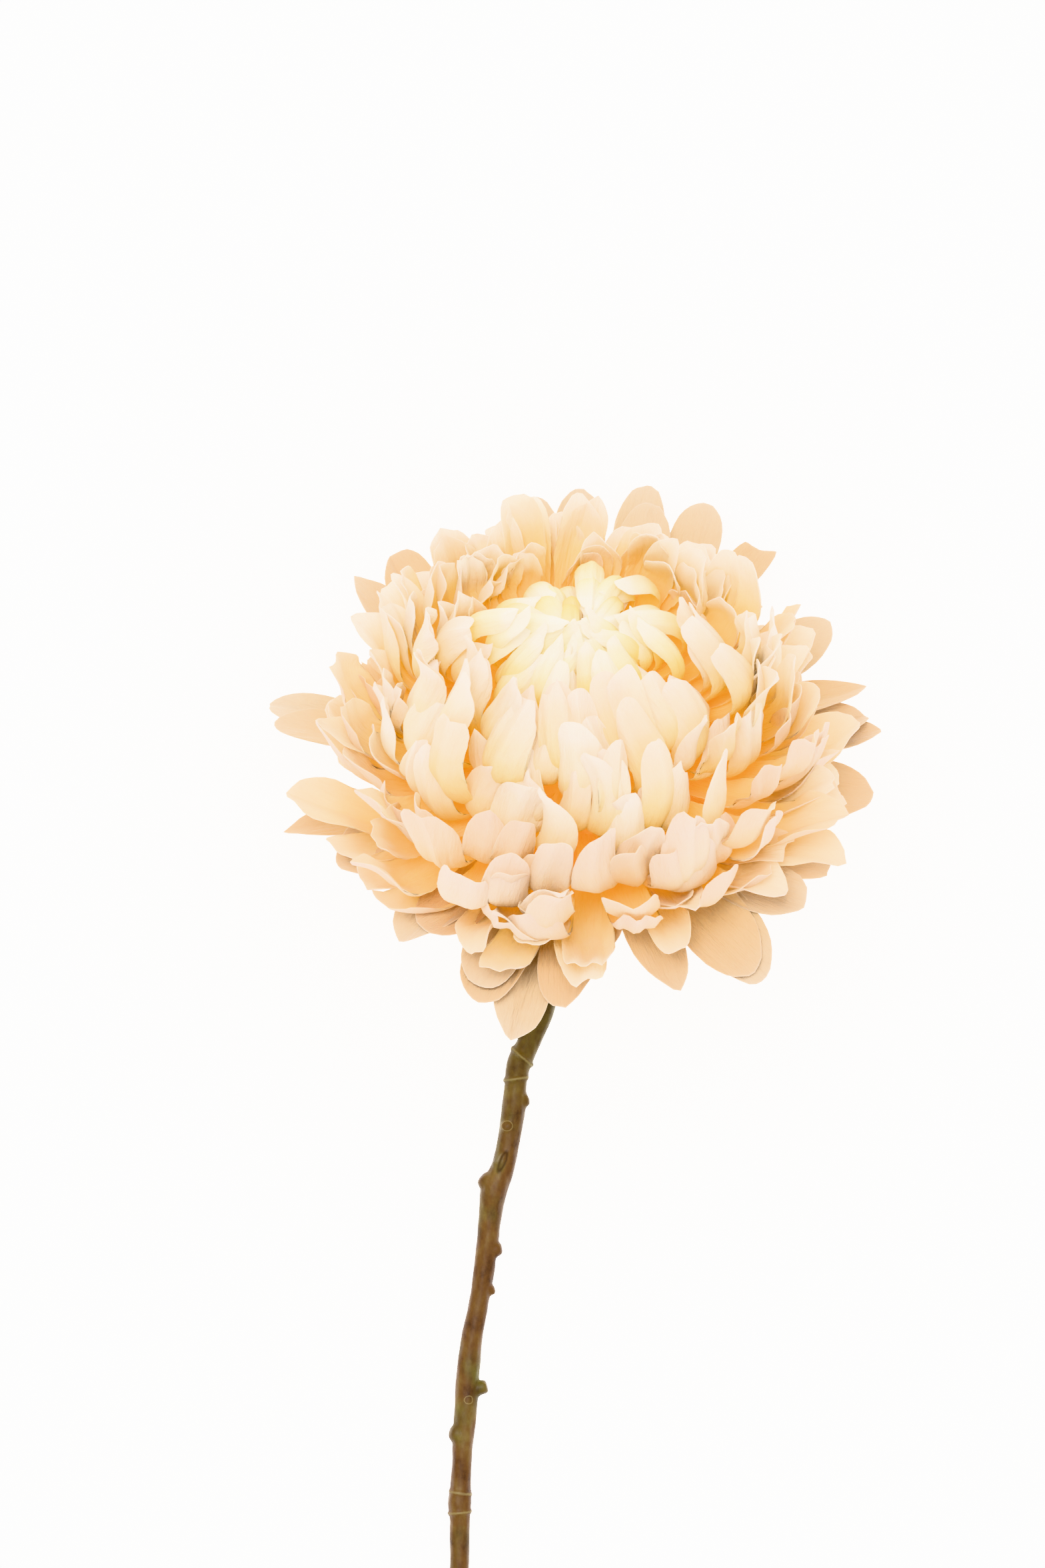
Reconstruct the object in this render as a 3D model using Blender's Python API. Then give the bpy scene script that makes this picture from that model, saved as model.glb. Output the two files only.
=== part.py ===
"""A pompon chrysanthemum: one cut flower of cloth petals on a moulded stem, lying on a surface.

Metres, +Z up. The stem lies along -Y and the bloom leans on its lowest petals, so the bloom's own
axis stands 40 degrees off the vertical, toward +Y. The petals are blades set in rows round a solid
core, from a flat back row to the closed heart, and each colour of petal is fused into one body.
"""

import math
import random

import bmesh
import bpy
import numpy as np

MM = 0.001
FLOOR = 0.0
GAP = 0.3 * MM

# Where the bloom is and how it leans
BLOOM_CENTRE = np.array((0.0, 0.1065, 0.049))
BLOOM_LEAN = math.radians(40)
AXIS = np.array((0.0, math.sin(BLOOM_LEAN), math.cos(BLOOM_LEAN)))
SIDE = np.array((1.0, 0.0, 0.0))
CREST = np.array((0.0, math.cos(BLOOM_LEAN), -math.sin(BLOOM_LEAN)))

# The core that the petals grow from: radius at its waist, height to the front and depth to the back
CORE_WAIST = 31 * MM
CORE_FRONT = 34 * MM
CORE_BACK = 15 * MM
CORE_SIDES = 16
CORE_RINGS = 4
# A ring of the core smaller than this is one corner
CORE_POINT = 1 * MM
# Heights along the axis where one colour of petal ends and the next begins
OUTER_TOP = 5.6 * MM
MIDDLE_TOP = 22.7 * MM

# Rows of petals from the back of the bloom to its heart. Each row has its node, the angle of its
# roots from the bloom's axis, the number of petals, their length and width in mm, how far they open
# past their root's own angle, how far they curl toward the axis, the part of their length where that
# bend's middle is, the half angle of their cup, angles in degrees, and how pointed they are (0 to 1).
PETAL_ROWS = (
    ("petals_outer", 112, 16, 45, 15.0, 0, 60, 0.56, 40, 0.0),
    ("petals_outer", 103, 16, 44, 15.0, 1, 70, 0.55, 44, 0.0),
    ("petals_outer", 94, 17, 43, 15.0, 3, 78, 0.54, 48, 0.0),
    ("petals_outer", 85, 17, 43, 15.0, 5, 80, 0.53, 50, 0.05),
    ("petals_middle", 76, 17, 42, 13.5, 7, 88, 0.52, 54, 0.05),
    ("petals_middle", 67, 17, 41, 13.5, 8, 90, 0.50, 56, 0.1),
    ("petals_middle", 58, 16, 40, 13.0, 9, 93, 0.49, 58, 0.1),
    ("petals_middle", 50, 14, 38, 12.5, 10, 96, 0.48, 58, 0.2),
    ("petals_heart", 38, 13, 35, 10.0, 14, 106, 0.46, 58, 0.4),
    ("petals_heart", 30, 11, 33, 9.5, 18, 112, 0.46, 58, 0.5),
    ("petals_heart", 22, 9, 30, 8.5, 22, 116, 0.46, 58, 0.6),
    ("petals_heart", 14, 7, 26, 8.0, 26, 120, 0.46, 58, 0.6),
    ("petals_heart", 7, 5, 22, 7.0, 28, 120, 0.46, 56, 0.6),
)
# Petals that make the bloom's outline, one by one: angle round the axis, anticlockwise from +X, angle
# of the root from the axis, length and width in mm, opening angle from the axis, curl, and how pointed
OUTLINE_PETALS = (
    (15, 124, 64, 15, 104, 22, 0.1),
    (0, 124, 60, 17, 106, 22, 0.15),
    (-20, 124, 56, 17, 106, 20, 0.1),
    (-35, 125, 53, 16, 106, 28, 0.1),
    (-49, 126, 57, 20, 106, 14, 0.1),
    (-68, 126, 54, 15, 104, 18, 0.7),
    (-85, 126, 43, 15, 104, 24, 0.2),
    (-103, 127, 61, 16, 106, 12, 0.15),
    (-111, 126, 57, 17, 106, 20, 0.1),
    (-132, 124, 50, 16, 104, 26, 0.2),
    (-155, 124, 51, 15, 104, 26, 0.2),
    (-170, 124, 59, 11, 102, 14, 0.7),
    (160, 124, 66, 12, 100, 12, 0.2),
    (135, 104, 56, 13, 92, 24, 0.6),
    (129, 100, 51, 14, 88, 22, 0.3),
    (97, 98, 53, 14, 88, 24, 0.2),
    (89, 96, 53, 13, 86, 20, 0.1),
    (76, 96, 54, 13, 86, 18, 0.1),
    (65, 98, 54, 14, 88, 24, 0.1),
    (55, 100, 58, 11, 90, 18, 0.2),
    (35, 108, 56, 14, 98, 24, 0.3),
    (24, 112, 58, 12, 100, 16, 0.8),
    (42, 125, 52, 16, 104, 26, 0.2),
    (61, 125, 57, 17, 108, 22, 0.1),
    (80, 125, 48, 16, 103, 34, 0.2),
    (100, 125, 48, 16, 104, 34, 0.2),
    (120, 125, 57, 17, 108, 22, 0.1),
    (142, 125, 52, 16, 104, 26, 0.2),
)
OUTLINE_BEND = 0.62
OUTLINE_CUP = 28
OUTLINE_TWIST = 6

# Petals toward the stem curl more and are longer than those of their row toward the crest
CURL_SWING = 0.3
LENGTH_SWING = 0.22
# Above the bloom's middle the outer petals are cut shorter, by up to the first of these shares, and
# below it the heart's are, by up to the second. The heart's petals above it curl more, by the third.
CREST_CUT = 0.24
HEART_CUT = 0.2
HEART_CURL = 0.6
# What differs by chance from one petal of a row to the next, as parts of a step or of a size
SEED = 127
AZIMUTH_PLAY = 0.25
POLAR_PLAY = 1.0
LENGTH_PLAY = 0.15
WIDTH_PLAY = 0.14
CURL_PLAY = 0.15
TWIST_PLAY = 24
SWAY_PLAY = 12

# Every petal: thickness, how deep its root is sunk in the core, and its outline from root to tip
PETAL_THICKNESS = 0.8 * MM
ROOT_DEPTH = 3.5 * MM
ROOT_WIDTH = 0.36
WIDEST = 0.68
ROOT_CUP = 50
# How full the tip's outline is and how sharply it closes, and what being pointed changes in them
TIP_FULLNESS = 3.4
POINTED_FULLNESS = -1.8
TIP_CLOSING = 0.5
POINTED_CLOSING = 0.45
# The parts of a petal's length where its edge is carried by a corner
PETAL_RINGS = (0.0, 0.36, 0.64, 0.9)
# The part of its length over which a petal bends, and the steps that its middle line is made in
BEND_SPAN = 0.72
SPINE_STEPS = 24

# Petals that come down to the surface turn along it over this height, climb from it no steeper than
# this, and stay this clear of it. Two of the outline petals, named by their angle, are the bloom's
# feet: they are thicker, press on the surface and are flat there.
PRESS_HEIGHT = 9 * MM
PRESS_CLIMB = 0.6
PRESS_CLEARANCE = 1.0 * MM
FEET = (61, 120)
FOOT_THICKNESS = 1.8 * MM
FOOT_CLEARANCE = -0.3 * MM
FLOOR_REACH = 400 * MM

# The green cup behind the bloom: heights behind the bloom's centre and radii, and its sepals
CALYX_PROFILE = ((15.3, 13.0), (17.0, 13.6), (20.0, 11.0), (23.0, 6.6), (26.5, 3.9))
CALYX_SIDES = 12
SEPALS = 9
SEPAL_ROOT_DEPTH = 16.4 * MM
SEPAL_ROOT_REACH = 9 * MM
SEPAL_LENGTH = 15 * MM
SEPAL_WIDTH = 6 * MM
SEPAL_THICKNESS = 0.9 * MM
# Where the corners of a sepal's edge are on its length, and its width there
SEPAL_RINGS = ((0.0, 0.9), (0.45, 1.0), (0.75, 0.6))

# The stem's route from the neck to its cut end: x, y, height of its middle and radius, in mm
STEM_ROUTE = (
    (0.0, 89.2, 28.4, 3.0),
    (-0.3, 82.7, 20.7, 2.8),
    (-1.2, 75.5, 13.4, 2.7),
    (-2.9, 66.0, 7.6, 2.7),
    (-5.4, 52.0, 4.4, 2.7),
    (-8.3, 40.0, 3.2, 2.7),
    (-11.6, 32.5, 3.0, 2.75),
    (-14.5, 25.9, 2.9, 2.9),
    (-15.1, 21.4, 2.9, 2.65),
    (-15.4, 17.0, 2.9, 2.9),
    (-16.4, 10.3, 2.9, 2.7),
    (-18.1, 1.4, 2.9, 2.8),
    (-20.4, -4.5, 3.2, 3.3),
    (-21.3, -10.0, 2.9, 2.9),
    (-22.2, -18.6, 2.9, 2.55),
    (-23.8, -30.5, 2.9, 2.4),
    (-25.7, -40.4, 2.9, 2.5),
    (-27.0, -50.4, 2.9, 2.8),
    (-27.6, -60.0, 2.9, 2.75),
    (-28.4, -70.5, 2.9, 2.4),
    (-28.8, -78.5, 2.9, 2.4),
    (-29.1, -82.9, 2.9, 2.9),
    (-29.0, -87.0, 2.9, 2.45),
    (-29.1, -98.4, 2.9, 2.3),
    (-30.0, -112.0, 2.9, 2.4),
    (-31.4, -124.0, 2.9, 2.9),
    (-31.6, -128.0, 2.9, 2.5),
    (-30.6, -143.0, 2.9, 2.4),
    (-28.8, -158.0, 2.9, 2.5),
    (-27.6, -170.7, 2.9, 2.5),
)
STEM_SPACING = 4.6 * MM
STEM_SIDES = 10
# Cut side shoots, thorns and buds on the stem: distance along Y in mm, angle round the stem from +X
# toward up, length out of the stem's middle, root and end radius in mm, and lean toward the bloom
STEM_STUBS = (
    (34.0, 168, 5.2, 1.3, 0.3, -20),
    (17.0, 10, 3.7, 2.0, 1.1, 15),
    (11.0, 118, 3.3, 1.9, 1.0, 20),
    (-1.0, 128, 3.6, 2.2, 0.8, 35),
    (-4.5, 176, 4.4, 2.6, 1.3, 25),
    (-20.5, 8, 3.7, 2.0, 1.2, 15),
    (-27.0, 4, 4.3, 1.5, 0.35, -40),
    (-54.5, 6, 5.2, 1.9, 1.5, 20),
    (-66.5, 174, 3.6, 2.6, 1.2, 15),
    (-124.5, 60, 4.2, 1.9, 0.8, 30),
    (-149.0, 150, 3.9, 1.9, 1.3, 20),
)
STUB_SIDES = 6

OUTER_COLOUR = (0.92, 0.60, 0.36, 1)
MIDDLE_COLOUR = (0.97, 0.77, 0.53, 1)
HEART_COLOUR = (0.98, 0.87, 0.62, 1)
STEM_COLOUR = (0.17, 0.10, 0.03, 1)
CALYX_COLOUR = (0.18, 0.20, 0.05, 1)
CLOTH_ROUGHNESS = 0.85
PLASTIC_ROUGHNESS = 0.55


def main():
    clear_scene()
    outer = material("outer_petal_cloth", OUTER_COLOUR, CLOTH_ROUGHNESS)
    middle = material("middle_petal_cloth", MIDDLE_COLOUR, CLOTH_ROUGHNESS)
    heart = material("heart_petal_cloth", HEART_COLOUR, CLOTH_ROUGHNESS)
    petals = all_petals()
    make_petals("petals_outer", petals, -CORE_BACK, OUTER_TOP, outer)
    make_petals("petals_middle", petals, OUTER_TOP + GAP, MIDDLE_TOP, middle)
    make_petals("petals_heart", petals, MIDDLE_TOP + GAP, CORE_FRONT, heart)
    make_calyx()
    make_stem()


def clear_scene():
    for thing in list(bpy.data.objects):
        bpy.data.objects.remove(thing, do_unlink=True)


def material(name, colour, roughness):
    made = bpy.data.materials.new(name)
    made.use_nodes = True
    surface = made.node_tree.nodes["Principled BSDF"]
    surface.inputs["Base Color"].default_value = colour
    surface.inputs["Roughness"].default_value = roughness
    surface.inputs["Metallic"].default_value = 0.0
    return made


def new_object(name, corners, faces, surface):
    mesh = bpy.data.meshes.new(name)
    mesh.from_pydata([tuple(corner) for corner in corners], [], faces)
    mesh.update()
    made = bpy.data.objects.new(name, mesh)
    bpy.context.scene.collection.objects.link(made)
    if surface:
        mesh.materials.append(surface)
    return made


def unit(vector):
    return vector / np.linalg.norm(vector)


# The petals

def all_petals():
    """Every petal of the bloom, as its own sizes, from the back row to the heart."""
    draw = random.Random(SEED)
    petals = []
    for azimuth, polar, length, width, opening, curl, point in OUTLINE_PETALS:
        petals.append(
            dict(
                node="petals_outer",
                polar=math.radians(polar),
                azimuth=math.radians(azimuth),
                length=length * MM,
                width=width * MM,
                start=math.radians(opening),
                curl=math.radians(curl),
                bend=OUTLINE_BEND,
                cup=math.radians(OUTLINE_CUP),
                point=point,
                twist=math.radians(draw.uniform(-OUTLINE_TWIST, OUTLINE_TWIST)),
                sway=0.0,
                foot=azimuth in FEET,
            )
        )
    for node, polar, count, length, width, opening, curl, bend, cup, point in PETAL_ROWS:
        turn = draw.uniform(0, 360)
        for index in range(count):
            azimuth = turn + 360 / count * (index + draw.uniform(-AZIMUTH_PLAY, AZIMUTH_PLAY))
            height = math.sin(math.radians(azimuth))
            crest = height * math.sin(math.radians(polar))
            cut, more_curl = 0.0, 0.0
            if node == "petals_outer":
                cut = CREST_CUT * max(0.0, height) ** 2
            if node == "petals_heart":
                cut = HEART_CUT * min(0.0, height) ** 2
                more_curl = HEART_CURL * max(0.0, height)
            tilt = draw.uniform(-POLAR_PLAY, POLAR_PLAY)
            longer = 1 - LENGTH_SWING * crest + draw.uniform(-LENGTH_PLAY, LENGTH_PLAY)
            wider = 1 + draw.uniform(-WIDTH_PLAY, WIDTH_PLAY)
            curlier = 1 - CURL_SWING * crest + draw.uniform(-CURL_PLAY, CURL_PLAY)
            petals.append(
                dict(
                    node=node,
                    polar=math.radians(polar + tilt),
                    azimuth=math.radians(azimuth),
                    length=length * MM * longer * (1 - cut),
                    width=width * MM * wider,
                    start=math.radians(polar + opening),
                    curl=math.radians(curl) * curlier * (1 + more_curl),
                    bend=bend,
                    cup=math.radians(cup),
                    point=point,
                    twist=math.radians(draw.uniform(-TWIST_PLAY, TWIST_PLAY)),
                    sway=math.radians(draw.uniform(-SWAY_PLAY, SWAY_PLAY)),
                    foot=False,
                )
            )
    return petals


def core_radius(polar):
    """The core's radius at an angle from its axis: an egg with a blunt back."""
    along = CORE_FRONT if math.cos(polar) > 0 else CORE_BACK
    return 1 / math.hypot(math.sin(polar) / CORE_WAIST, math.cos(polar) / along)


def bend_share(petal, part):
    """How much of a petal's curl lies before a part of its length: none at the root, all at the tip."""
    done = min(1.0, max(0.0, (part - petal["bend"]) / BEND_SPAN + 0.5))
    return done * done * (3 - 2 * done)


def petal_spine(petal):
    """Points down the middle of a petal, with its inward and across directions at each."""
    radial = SIDE * math.cos(petal["azimuth"]) + CREST * math.sin(petal["azimuth"])
    round_axis = CREST * math.cos(petal["azimuth"]) - SIDE * math.sin(petal["azimuth"])
    root = AXIS * math.cos(petal["polar"]) + radial * math.sin(petal["polar"])
    start = AXIS * math.cos(petal["start"]) + radial * math.sin(petal["start"])
    place = BLOOM_CENTRE + core_radius(petal["polar"]) * root - ROOT_DEPTH * start
    step = petal["length"] / SPINE_STEPS
    points, inwards, acrosses = [], [], []
    for index in range(SPINE_STEPS + 1):
        part = index / SPINE_STEPS
        angle = petal["start"] - petal["curl"] * bend_share(petal, part)
        lean = petal["sway"] * part
        heading = AXIS * math.cos(angle) + radial * math.sin(angle) + round_axis * math.sin(lean)
        heading = pressed(unit(heading), place, clearance(petal))
        across = unit(round_axis - heading * float(round_axis @ heading))
        inward = np.cross(heading, across)
        twist = petal["twist"] * part
        points.append(place)
        acrosses.append(across * math.cos(twist) + inward * math.sin(twist))
        inwards.append(inward * math.cos(twist) - across * math.sin(twist))
        place = place + heading * step
    return np.array(points), np.array(inwards), np.array(acrosses)


def clearance(petal):
    return FOOT_CLEARANCE if petal["foot"] else PRESS_CLEARANCE


def pressed(heading, place, clear):
    """A petal's heading, turned along the surface that the bloom lies on as it comes down to it."""
    steepest = -(place[2] - clear) / PRESS_HEIGHT
    if heading[2] >= steepest:
        return heading
    flat = heading.copy()
    flat[2] = 0
    rise = max(-1.0, min(PRESS_CLIMB, steepest))
    return unit(unit(flat) * math.sqrt(1 - rise * rise) + np.array((0, 0, rise)))


def half_width(petal, part):
    """Half a petal's width at a part of its length: a narrow root, and a round or pointed tip."""
    if part < WIDEST:
        rise = math.sin(math.pi / 2 * part / WIDEST)
        return petal["width"] / 2 * (ROOT_WIDTH + (1 - ROOT_WIDTH) * rise)
    toward_tip = (part - WIDEST) / (1 - WIDEST)
    fullness = TIP_FULLNESS + POINTED_FULLNESS * petal["point"]
    closing = TIP_CLOSING + POINTED_CLOSING * petal["point"]
    return petal["width"] / 2 * max(0.0, 1 - toward_tip**fullness) ** closing


def petal_point(petal, spine, part, side):
    """A point of the petal's middle surface, and the inward direction there. Side is -1 to 1."""
    points, inwards, acrosses = spine
    place = part * SPINE_STEPS
    low = min(int(place), SPINE_STEPS - 1)
    blend = place - low
    middle = points[low] * (1 - blend) + points[low + 1] * blend
    inward = unit(inwards[low] * (1 - blend) + inwards[low + 1] * blend)
    across = unit(acrosses[low] * (1 - blend) + acrosses[low + 1] * blend)
    cup = petal["cup"] + (math.radians(ROOT_CUP) - petal["cup"]) * (1 - part) ** 2
    turn = cup * side
    reach = half_width(petal, part) / cup
    point = middle + across * math.sin(turn) * reach + inward * (1 - math.cos(turn)) * reach
    point[2] = max(point[2], clearance(petal))
    return point, inward * math.cos(turn) - across * math.sin(turn)


def petal_blade(petal):
    """A closed blade: two edges and a raised middle on each face, split alike on both faces."""
    spine = petal_spine(petal)
    half = (FOOT_THICKNESS if petal["foot"] else PETAL_THICKNESS) / 2
    corners = []
    for part in PETAL_RINGS:
        left, _ = petal_point(petal, spine, part, -1)
        right, _ = petal_point(petal, spine, part, 1)
        middle, inward = petal_point(petal, spine, part, 0)
        front = middle + inward * half
        back = middle - inward * half
        corners += [left, front, right, back]
    tip, _ = petal_point(petal, spine, 1.0, 0)
    corners.append(tip)
    return corners, blade_faces(len(PETAL_RINGS))


def blade_faces(rings):
    """The triangles of a blade whose rings are left edge, front, right edge and back, then its tip."""
    faces = [(0, 1, 2), (0, 2, 3)]
    for ring in range(rings - 1):
        low = 4 * ring
        high = low + 4
        for edge, middle in ((0, 1), (2, 3), (0, 3), (2, 1)):
            one = (low + edge, low + middle, high + middle)
            two = (low + edge, high + middle, high + edge)
            if (edge, middle) in ((0, 1), (2, 3)):
                one, two = one[::-1], two[::-1]
            faces += [one, two]
    last = 4 * (rings - 1)
    end = last + 4
    for one, two in ((0, 1), (1, 2), (2, 3), (3, 0)):
        faces.append((last + two, last + one, end))
    return faces


def core_slice(name, low, high, surface):
    """A turned slice of the core, from one height along the axis to another."""
    rings = []
    for index in range(CORE_RINGS + 1):
        height = low + (high - low) * index / CORE_RINGS
        along = CORE_FRONT if height > 0 else CORE_BACK
        radius = CORE_WAIST * math.sqrt(max(0.0, 1 - (height / along) ** 2))
        rings.append((height, radius))
    corners = []
    faces = []
    for height, radius in rings:
        middle = BLOOM_CENTRE + AXIS * height
        if radius < CORE_POINT:
            corners.append([middle])
            continue
        ring = []
        for side in range(CORE_SIDES):
            turn = 2 * math.pi * side / CORE_SIDES
            ring.append(middle + (SIDE * math.cos(turn) + CREST * math.sin(turn)) * radius)
        corners.append(ring)
    flat = [corner for ring in corners for corner in ring]
    starts = [sum(len(ring) for ring in corners[:index]) for index in range(len(corners))]
    for index in range(len(corners) - 1):
        below, above = starts[index], starts[index + 1]
        for side in range(CORE_SIDES):
            after = (side + 1) % CORE_SIDES
            if len(corners[index]) == 1:
                faces.append((below, above + after, above + side))
            elif len(corners[index + 1]) == 1:
                faces.append((below + side, below + after, above))
            else:
                faces.append((below + side, below + after, above + after, above + side))
    if len(corners[0]) > 1:
        faces.append(tuple(reversed(range(CORE_SIDES))))
    if len(corners[-1]) > 1:
        faces.append(tuple(starts[-1] + side for side in range(CORE_SIDES)))
    return new_object(name, flat, faces, surface)


def join(made, others, operation, solver="EXACT"):
    """Fuses other objects into one, or cuts them from it, and removes them."""
    parts = bpy.data.collections.new(made.name + "_" + operation.lower())
    bpy.context.scene.collection.children.link(parts)
    for other in others:
        bpy.context.scene.collection.objects.unlink(other)
        parts.objects.link(other)
    fuse = made.modifiers.new(operation, "BOOLEAN")
    fuse.operation = operation
    fuse.operand_type = "COLLECTION"
    fuse.solver = solver
    fuse.collection = parts
    bpy.context.view_layer.objects.active = made
    bpy.ops.object.modifier_apply(modifier=fuse.name)
    for other in others:
        bpy.data.objects.remove(other, do_unlink=True)
    bpy.data.collections.remove(parts)


def keep_outer_skin(made):
    """Fills the hollows that fusing has sealed, and drops loose scraps: only the largest shell stays."""
    work = bmesh.new()
    work.from_mesh(made.data)
    unseen = set(work.faces)
    shells = []
    while unseen:
        shell = set()
        reached = [unseen.pop()]
        while reached:
            face = reached.pop()
            shell.add(face)
            for edge in face.edges:
                for near in edge.link_faces:
                    if near in unseen:
                        unseen.remove(near)
                        reached.append(near)
        shells.append(shell)
    shells.sort(key=len)
    for shell in shells[:-1]:
        bmesh.ops.delete(work, geom=list(shell), context="FACES")
    work.to_mesh(made.data)
    work.free()


def make_petals(name, petals, low, high, surface):
    """One colour of petals, fused with its slice of the core."""
    made = core_slice(name, low, high, surface)
    own = [petal for petal in petals if petal["node"] == name]
    blades = [new_object(name + "_blade", *petal_blade(petal), surface) for petal in own]
    join(made, blades, "UNION", "MANIFOLD")
    if any(petal["foot"] for petal in own):
        join(made, [floor_slab()], "DIFFERENCE", "MANIFOLD")
    keep_outer_skin(made)


def floor_slab():
    """What is under the surface: it takes the feet off flat."""
    reach = FLOOR_REACH
    corners = [
        (x, y, z)
        for z in (-reach, FLOOR)
        for x, y in ((-reach, -reach), (reach, -reach), (reach, reach), (-reach, reach))
    ]
    sides = [(side, (side + 1) % 4, (side + 1) % 4 + 4, side + 4) for side in range(4)]
    return new_object("under_the_surface", corners, [(3, 2, 1, 0), (4, 5, 6, 7)] + sides, None)


# The calyx

def make_calyx():
    """The green cup that holds the petals, with its pointed sepals fused to it."""
    surface = material("calyx_plastic", CALYX_COLOUR, PLASTIC_ROUGHNESS)
    corners = []
    faces = []
    for behind, radius in CALYX_PROFILE:
        for side in range(CALYX_SIDES):
            turn = 2 * math.pi * side / CALYX_SIDES
            out = SIDE * math.cos(turn) + CREST * math.sin(turn)
            corners.append(BLOOM_CENTRE - AXIS * behind * MM + out * radius * MM)
    for ring in range(len(CALYX_PROFILE) - 1):
        for side in range(CALYX_SIDES):
            after = (side + 1) % CALYX_SIDES
            low = ring * CALYX_SIDES
            high = low + CALYX_SIDES
            faces.append((low + side, high + side, high + after, low + after))
    faces.append(tuple(range(CALYX_SIDES)))
    faces.append(tuple(reversed(range(len(corners) - CALYX_SIDES, len(corners)))))
    made = new_object("calyx", corners, faces, surface)
    join(made, [sepal(index, surface) for index in range(SEPALS)], "UNION")


def sepal(index, surface):
    """A pointed blade that lies behind the back row of petals."""
    turn = 2 * math.pi * (index + 0.5) / SEPALS
    out = SIDE * math.cos(turn) + CREST * math.sin(turn)
    across = CREST * math.cos(turn) - SIDE * math.sin(turn)
    root = BLOOM_CENTRE - AXIS * SEPAL_ROOT_DEPTH + out * SEPAL_ROOT_REACH
    corners = []
    for part, width in SEPAL_RINGS:
        middle = root + out * SEPAL_LENGTH * part
        side = across * SEPAL_WIDTH / 2 * width
        rise = AXIS * SEPAL_THICKNESS / 2
        corners += [middle - side, middle + rise, middle + side, middle - rise]
    corners.append(root + out * SEPAL_LENGTH)
    return new_object("sepal", corners, blade_faces(len(SEPAL_RINGS)), surface)


# The stem

def make_stem():
    """The moulded stem: a tube along its route, with its buds, thorns and cut shoots fused on."""
    surface = material("stem_plastic", STEM_COLOUR, PLASTIC_ROUGHNESS)
    route = stem_rings()
    corners = []
    faces = []
    for middle, radius, right, up in route:
        for side in range(STEM_SIDES):
            turn = 2 * math.pi * side / STEM_SIDES
            corners.append(middle + (right * math.cos(turn) + up * math.sin(turn)) * radius)
    for ring in range(len(route) - 1):
        for side in range(STEM_SIDES):
            after = (side + 1) % STEM_SIDES
            low = ring * STEM_SIDES
            high = low + STEM_SIDES
            faces.append((low + side, low + after, high + after, high + side))
    faces.append(tuple(reversed(range(STEM_SIDES))))
    faces.append(tuple(range(len(corners) - STEM_SIDES, len(corners))))
    made = new_object("stem", corners, faces, surface)
    join(made, [stub(route, surface, *sizes) for sizes in STEM_STUBS], "UNION")


def stem_rings():
    """Rings along a Catmull-Rom curve through the route: middle, radius, and its right and up."""
    points = np.array(STEM_ROUTE) * MM
    samples = []
    for index in range(len(points) - 1):
        before = points[max(index - 1, 0)]
        here, there = points[index], points[index + 1]
        after = points[min(index + 2, len(points) - 1)]
        steps = max(1, round(float(np.linalg.norm(there[:3] - here[:3])) / STEM_SPACING))
        for step in range(steps):
            t = step / steps
            samples.append(
                0.5
                * (
                    2 * here
                    + (there - before) * t
                    + (2 * before - 5 * here + 4 * there - after) * t**2
                    + (3 * here - before - 3 * there + after) * t**3
                )
            )
    samples.append(points[-1])
    rings = []
    for index, sample in enumerate(samples):
        ahead = samples[min(index + 1, len(samples) - 1)][:3] - samples[max(index - 1, 0)][:3]
        along = unit(ahead)
        right = unit(np.cross(along, np.array((0.0, -along[2], -along[1]))))
        if right[0] < 0:
            right = -right
        up = np.cross(along, right)
        if up[2] < 0:
            up = -up
        rings.append((sample[:3], sample[3], right, up))
    return rings


def stub(route, surface, along, turn, length, root_radius, end_radius, lean):
    """A short tapered shoot that starts in the stem's middle."""
    middle, _, right, up = min(route, key=lambda ring: abs(ring[0][1] - along * MM))
    turn = math.radians(turn)
    lean = math.radians(lean)
    to_bloom = unit(np.cross(right, up))
    if to_bloom[1] < 0:
        to_bloom = -to_bloom
    out = (right * math.cos(turn) + up * math.sin(turn)) * math.cos(lean) + to_bloom * math.sin(lean)
    one = unit(np.cross(out, up if abs(float(out @ up)) < 0.9 else right))
    two = np.cross(out, one)
    corners = []
    for place, radius in ((middle, root_radius), (middle + out * length * MM, end_radius)):
        for side in range(STUB_SIDES):
            angle = 2 * math.pi * side / STUB_SIDES
            corners.append(place + (one * math.cos(angle) + two * math.sin(angle)) * radius * MM)
    faces = [tuple(reversed(range(STUB_SIDES))), tuple(range(STUB_SIDES, 2 * STUB_SIDES))]
    for side in range(STUB_SIDES):
        after = (side + 1) % STUB_SIDES
        faces.append((side, after, after + STUB_SIDES, side + STUB_SIDES))
    return new_object("stub", corners, faces, surface)


if __name__ == "__main__":
    main()
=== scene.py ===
"""The looks of an artificial pompon chrysanthemum that lies on a table, seen from above.

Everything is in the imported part's frame: metres, +Z up, +Y from the stem's cut end to the bloom.
"""

import math
import random

import bmesh
import bpy
import numpy as np
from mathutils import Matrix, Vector, noise


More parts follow.
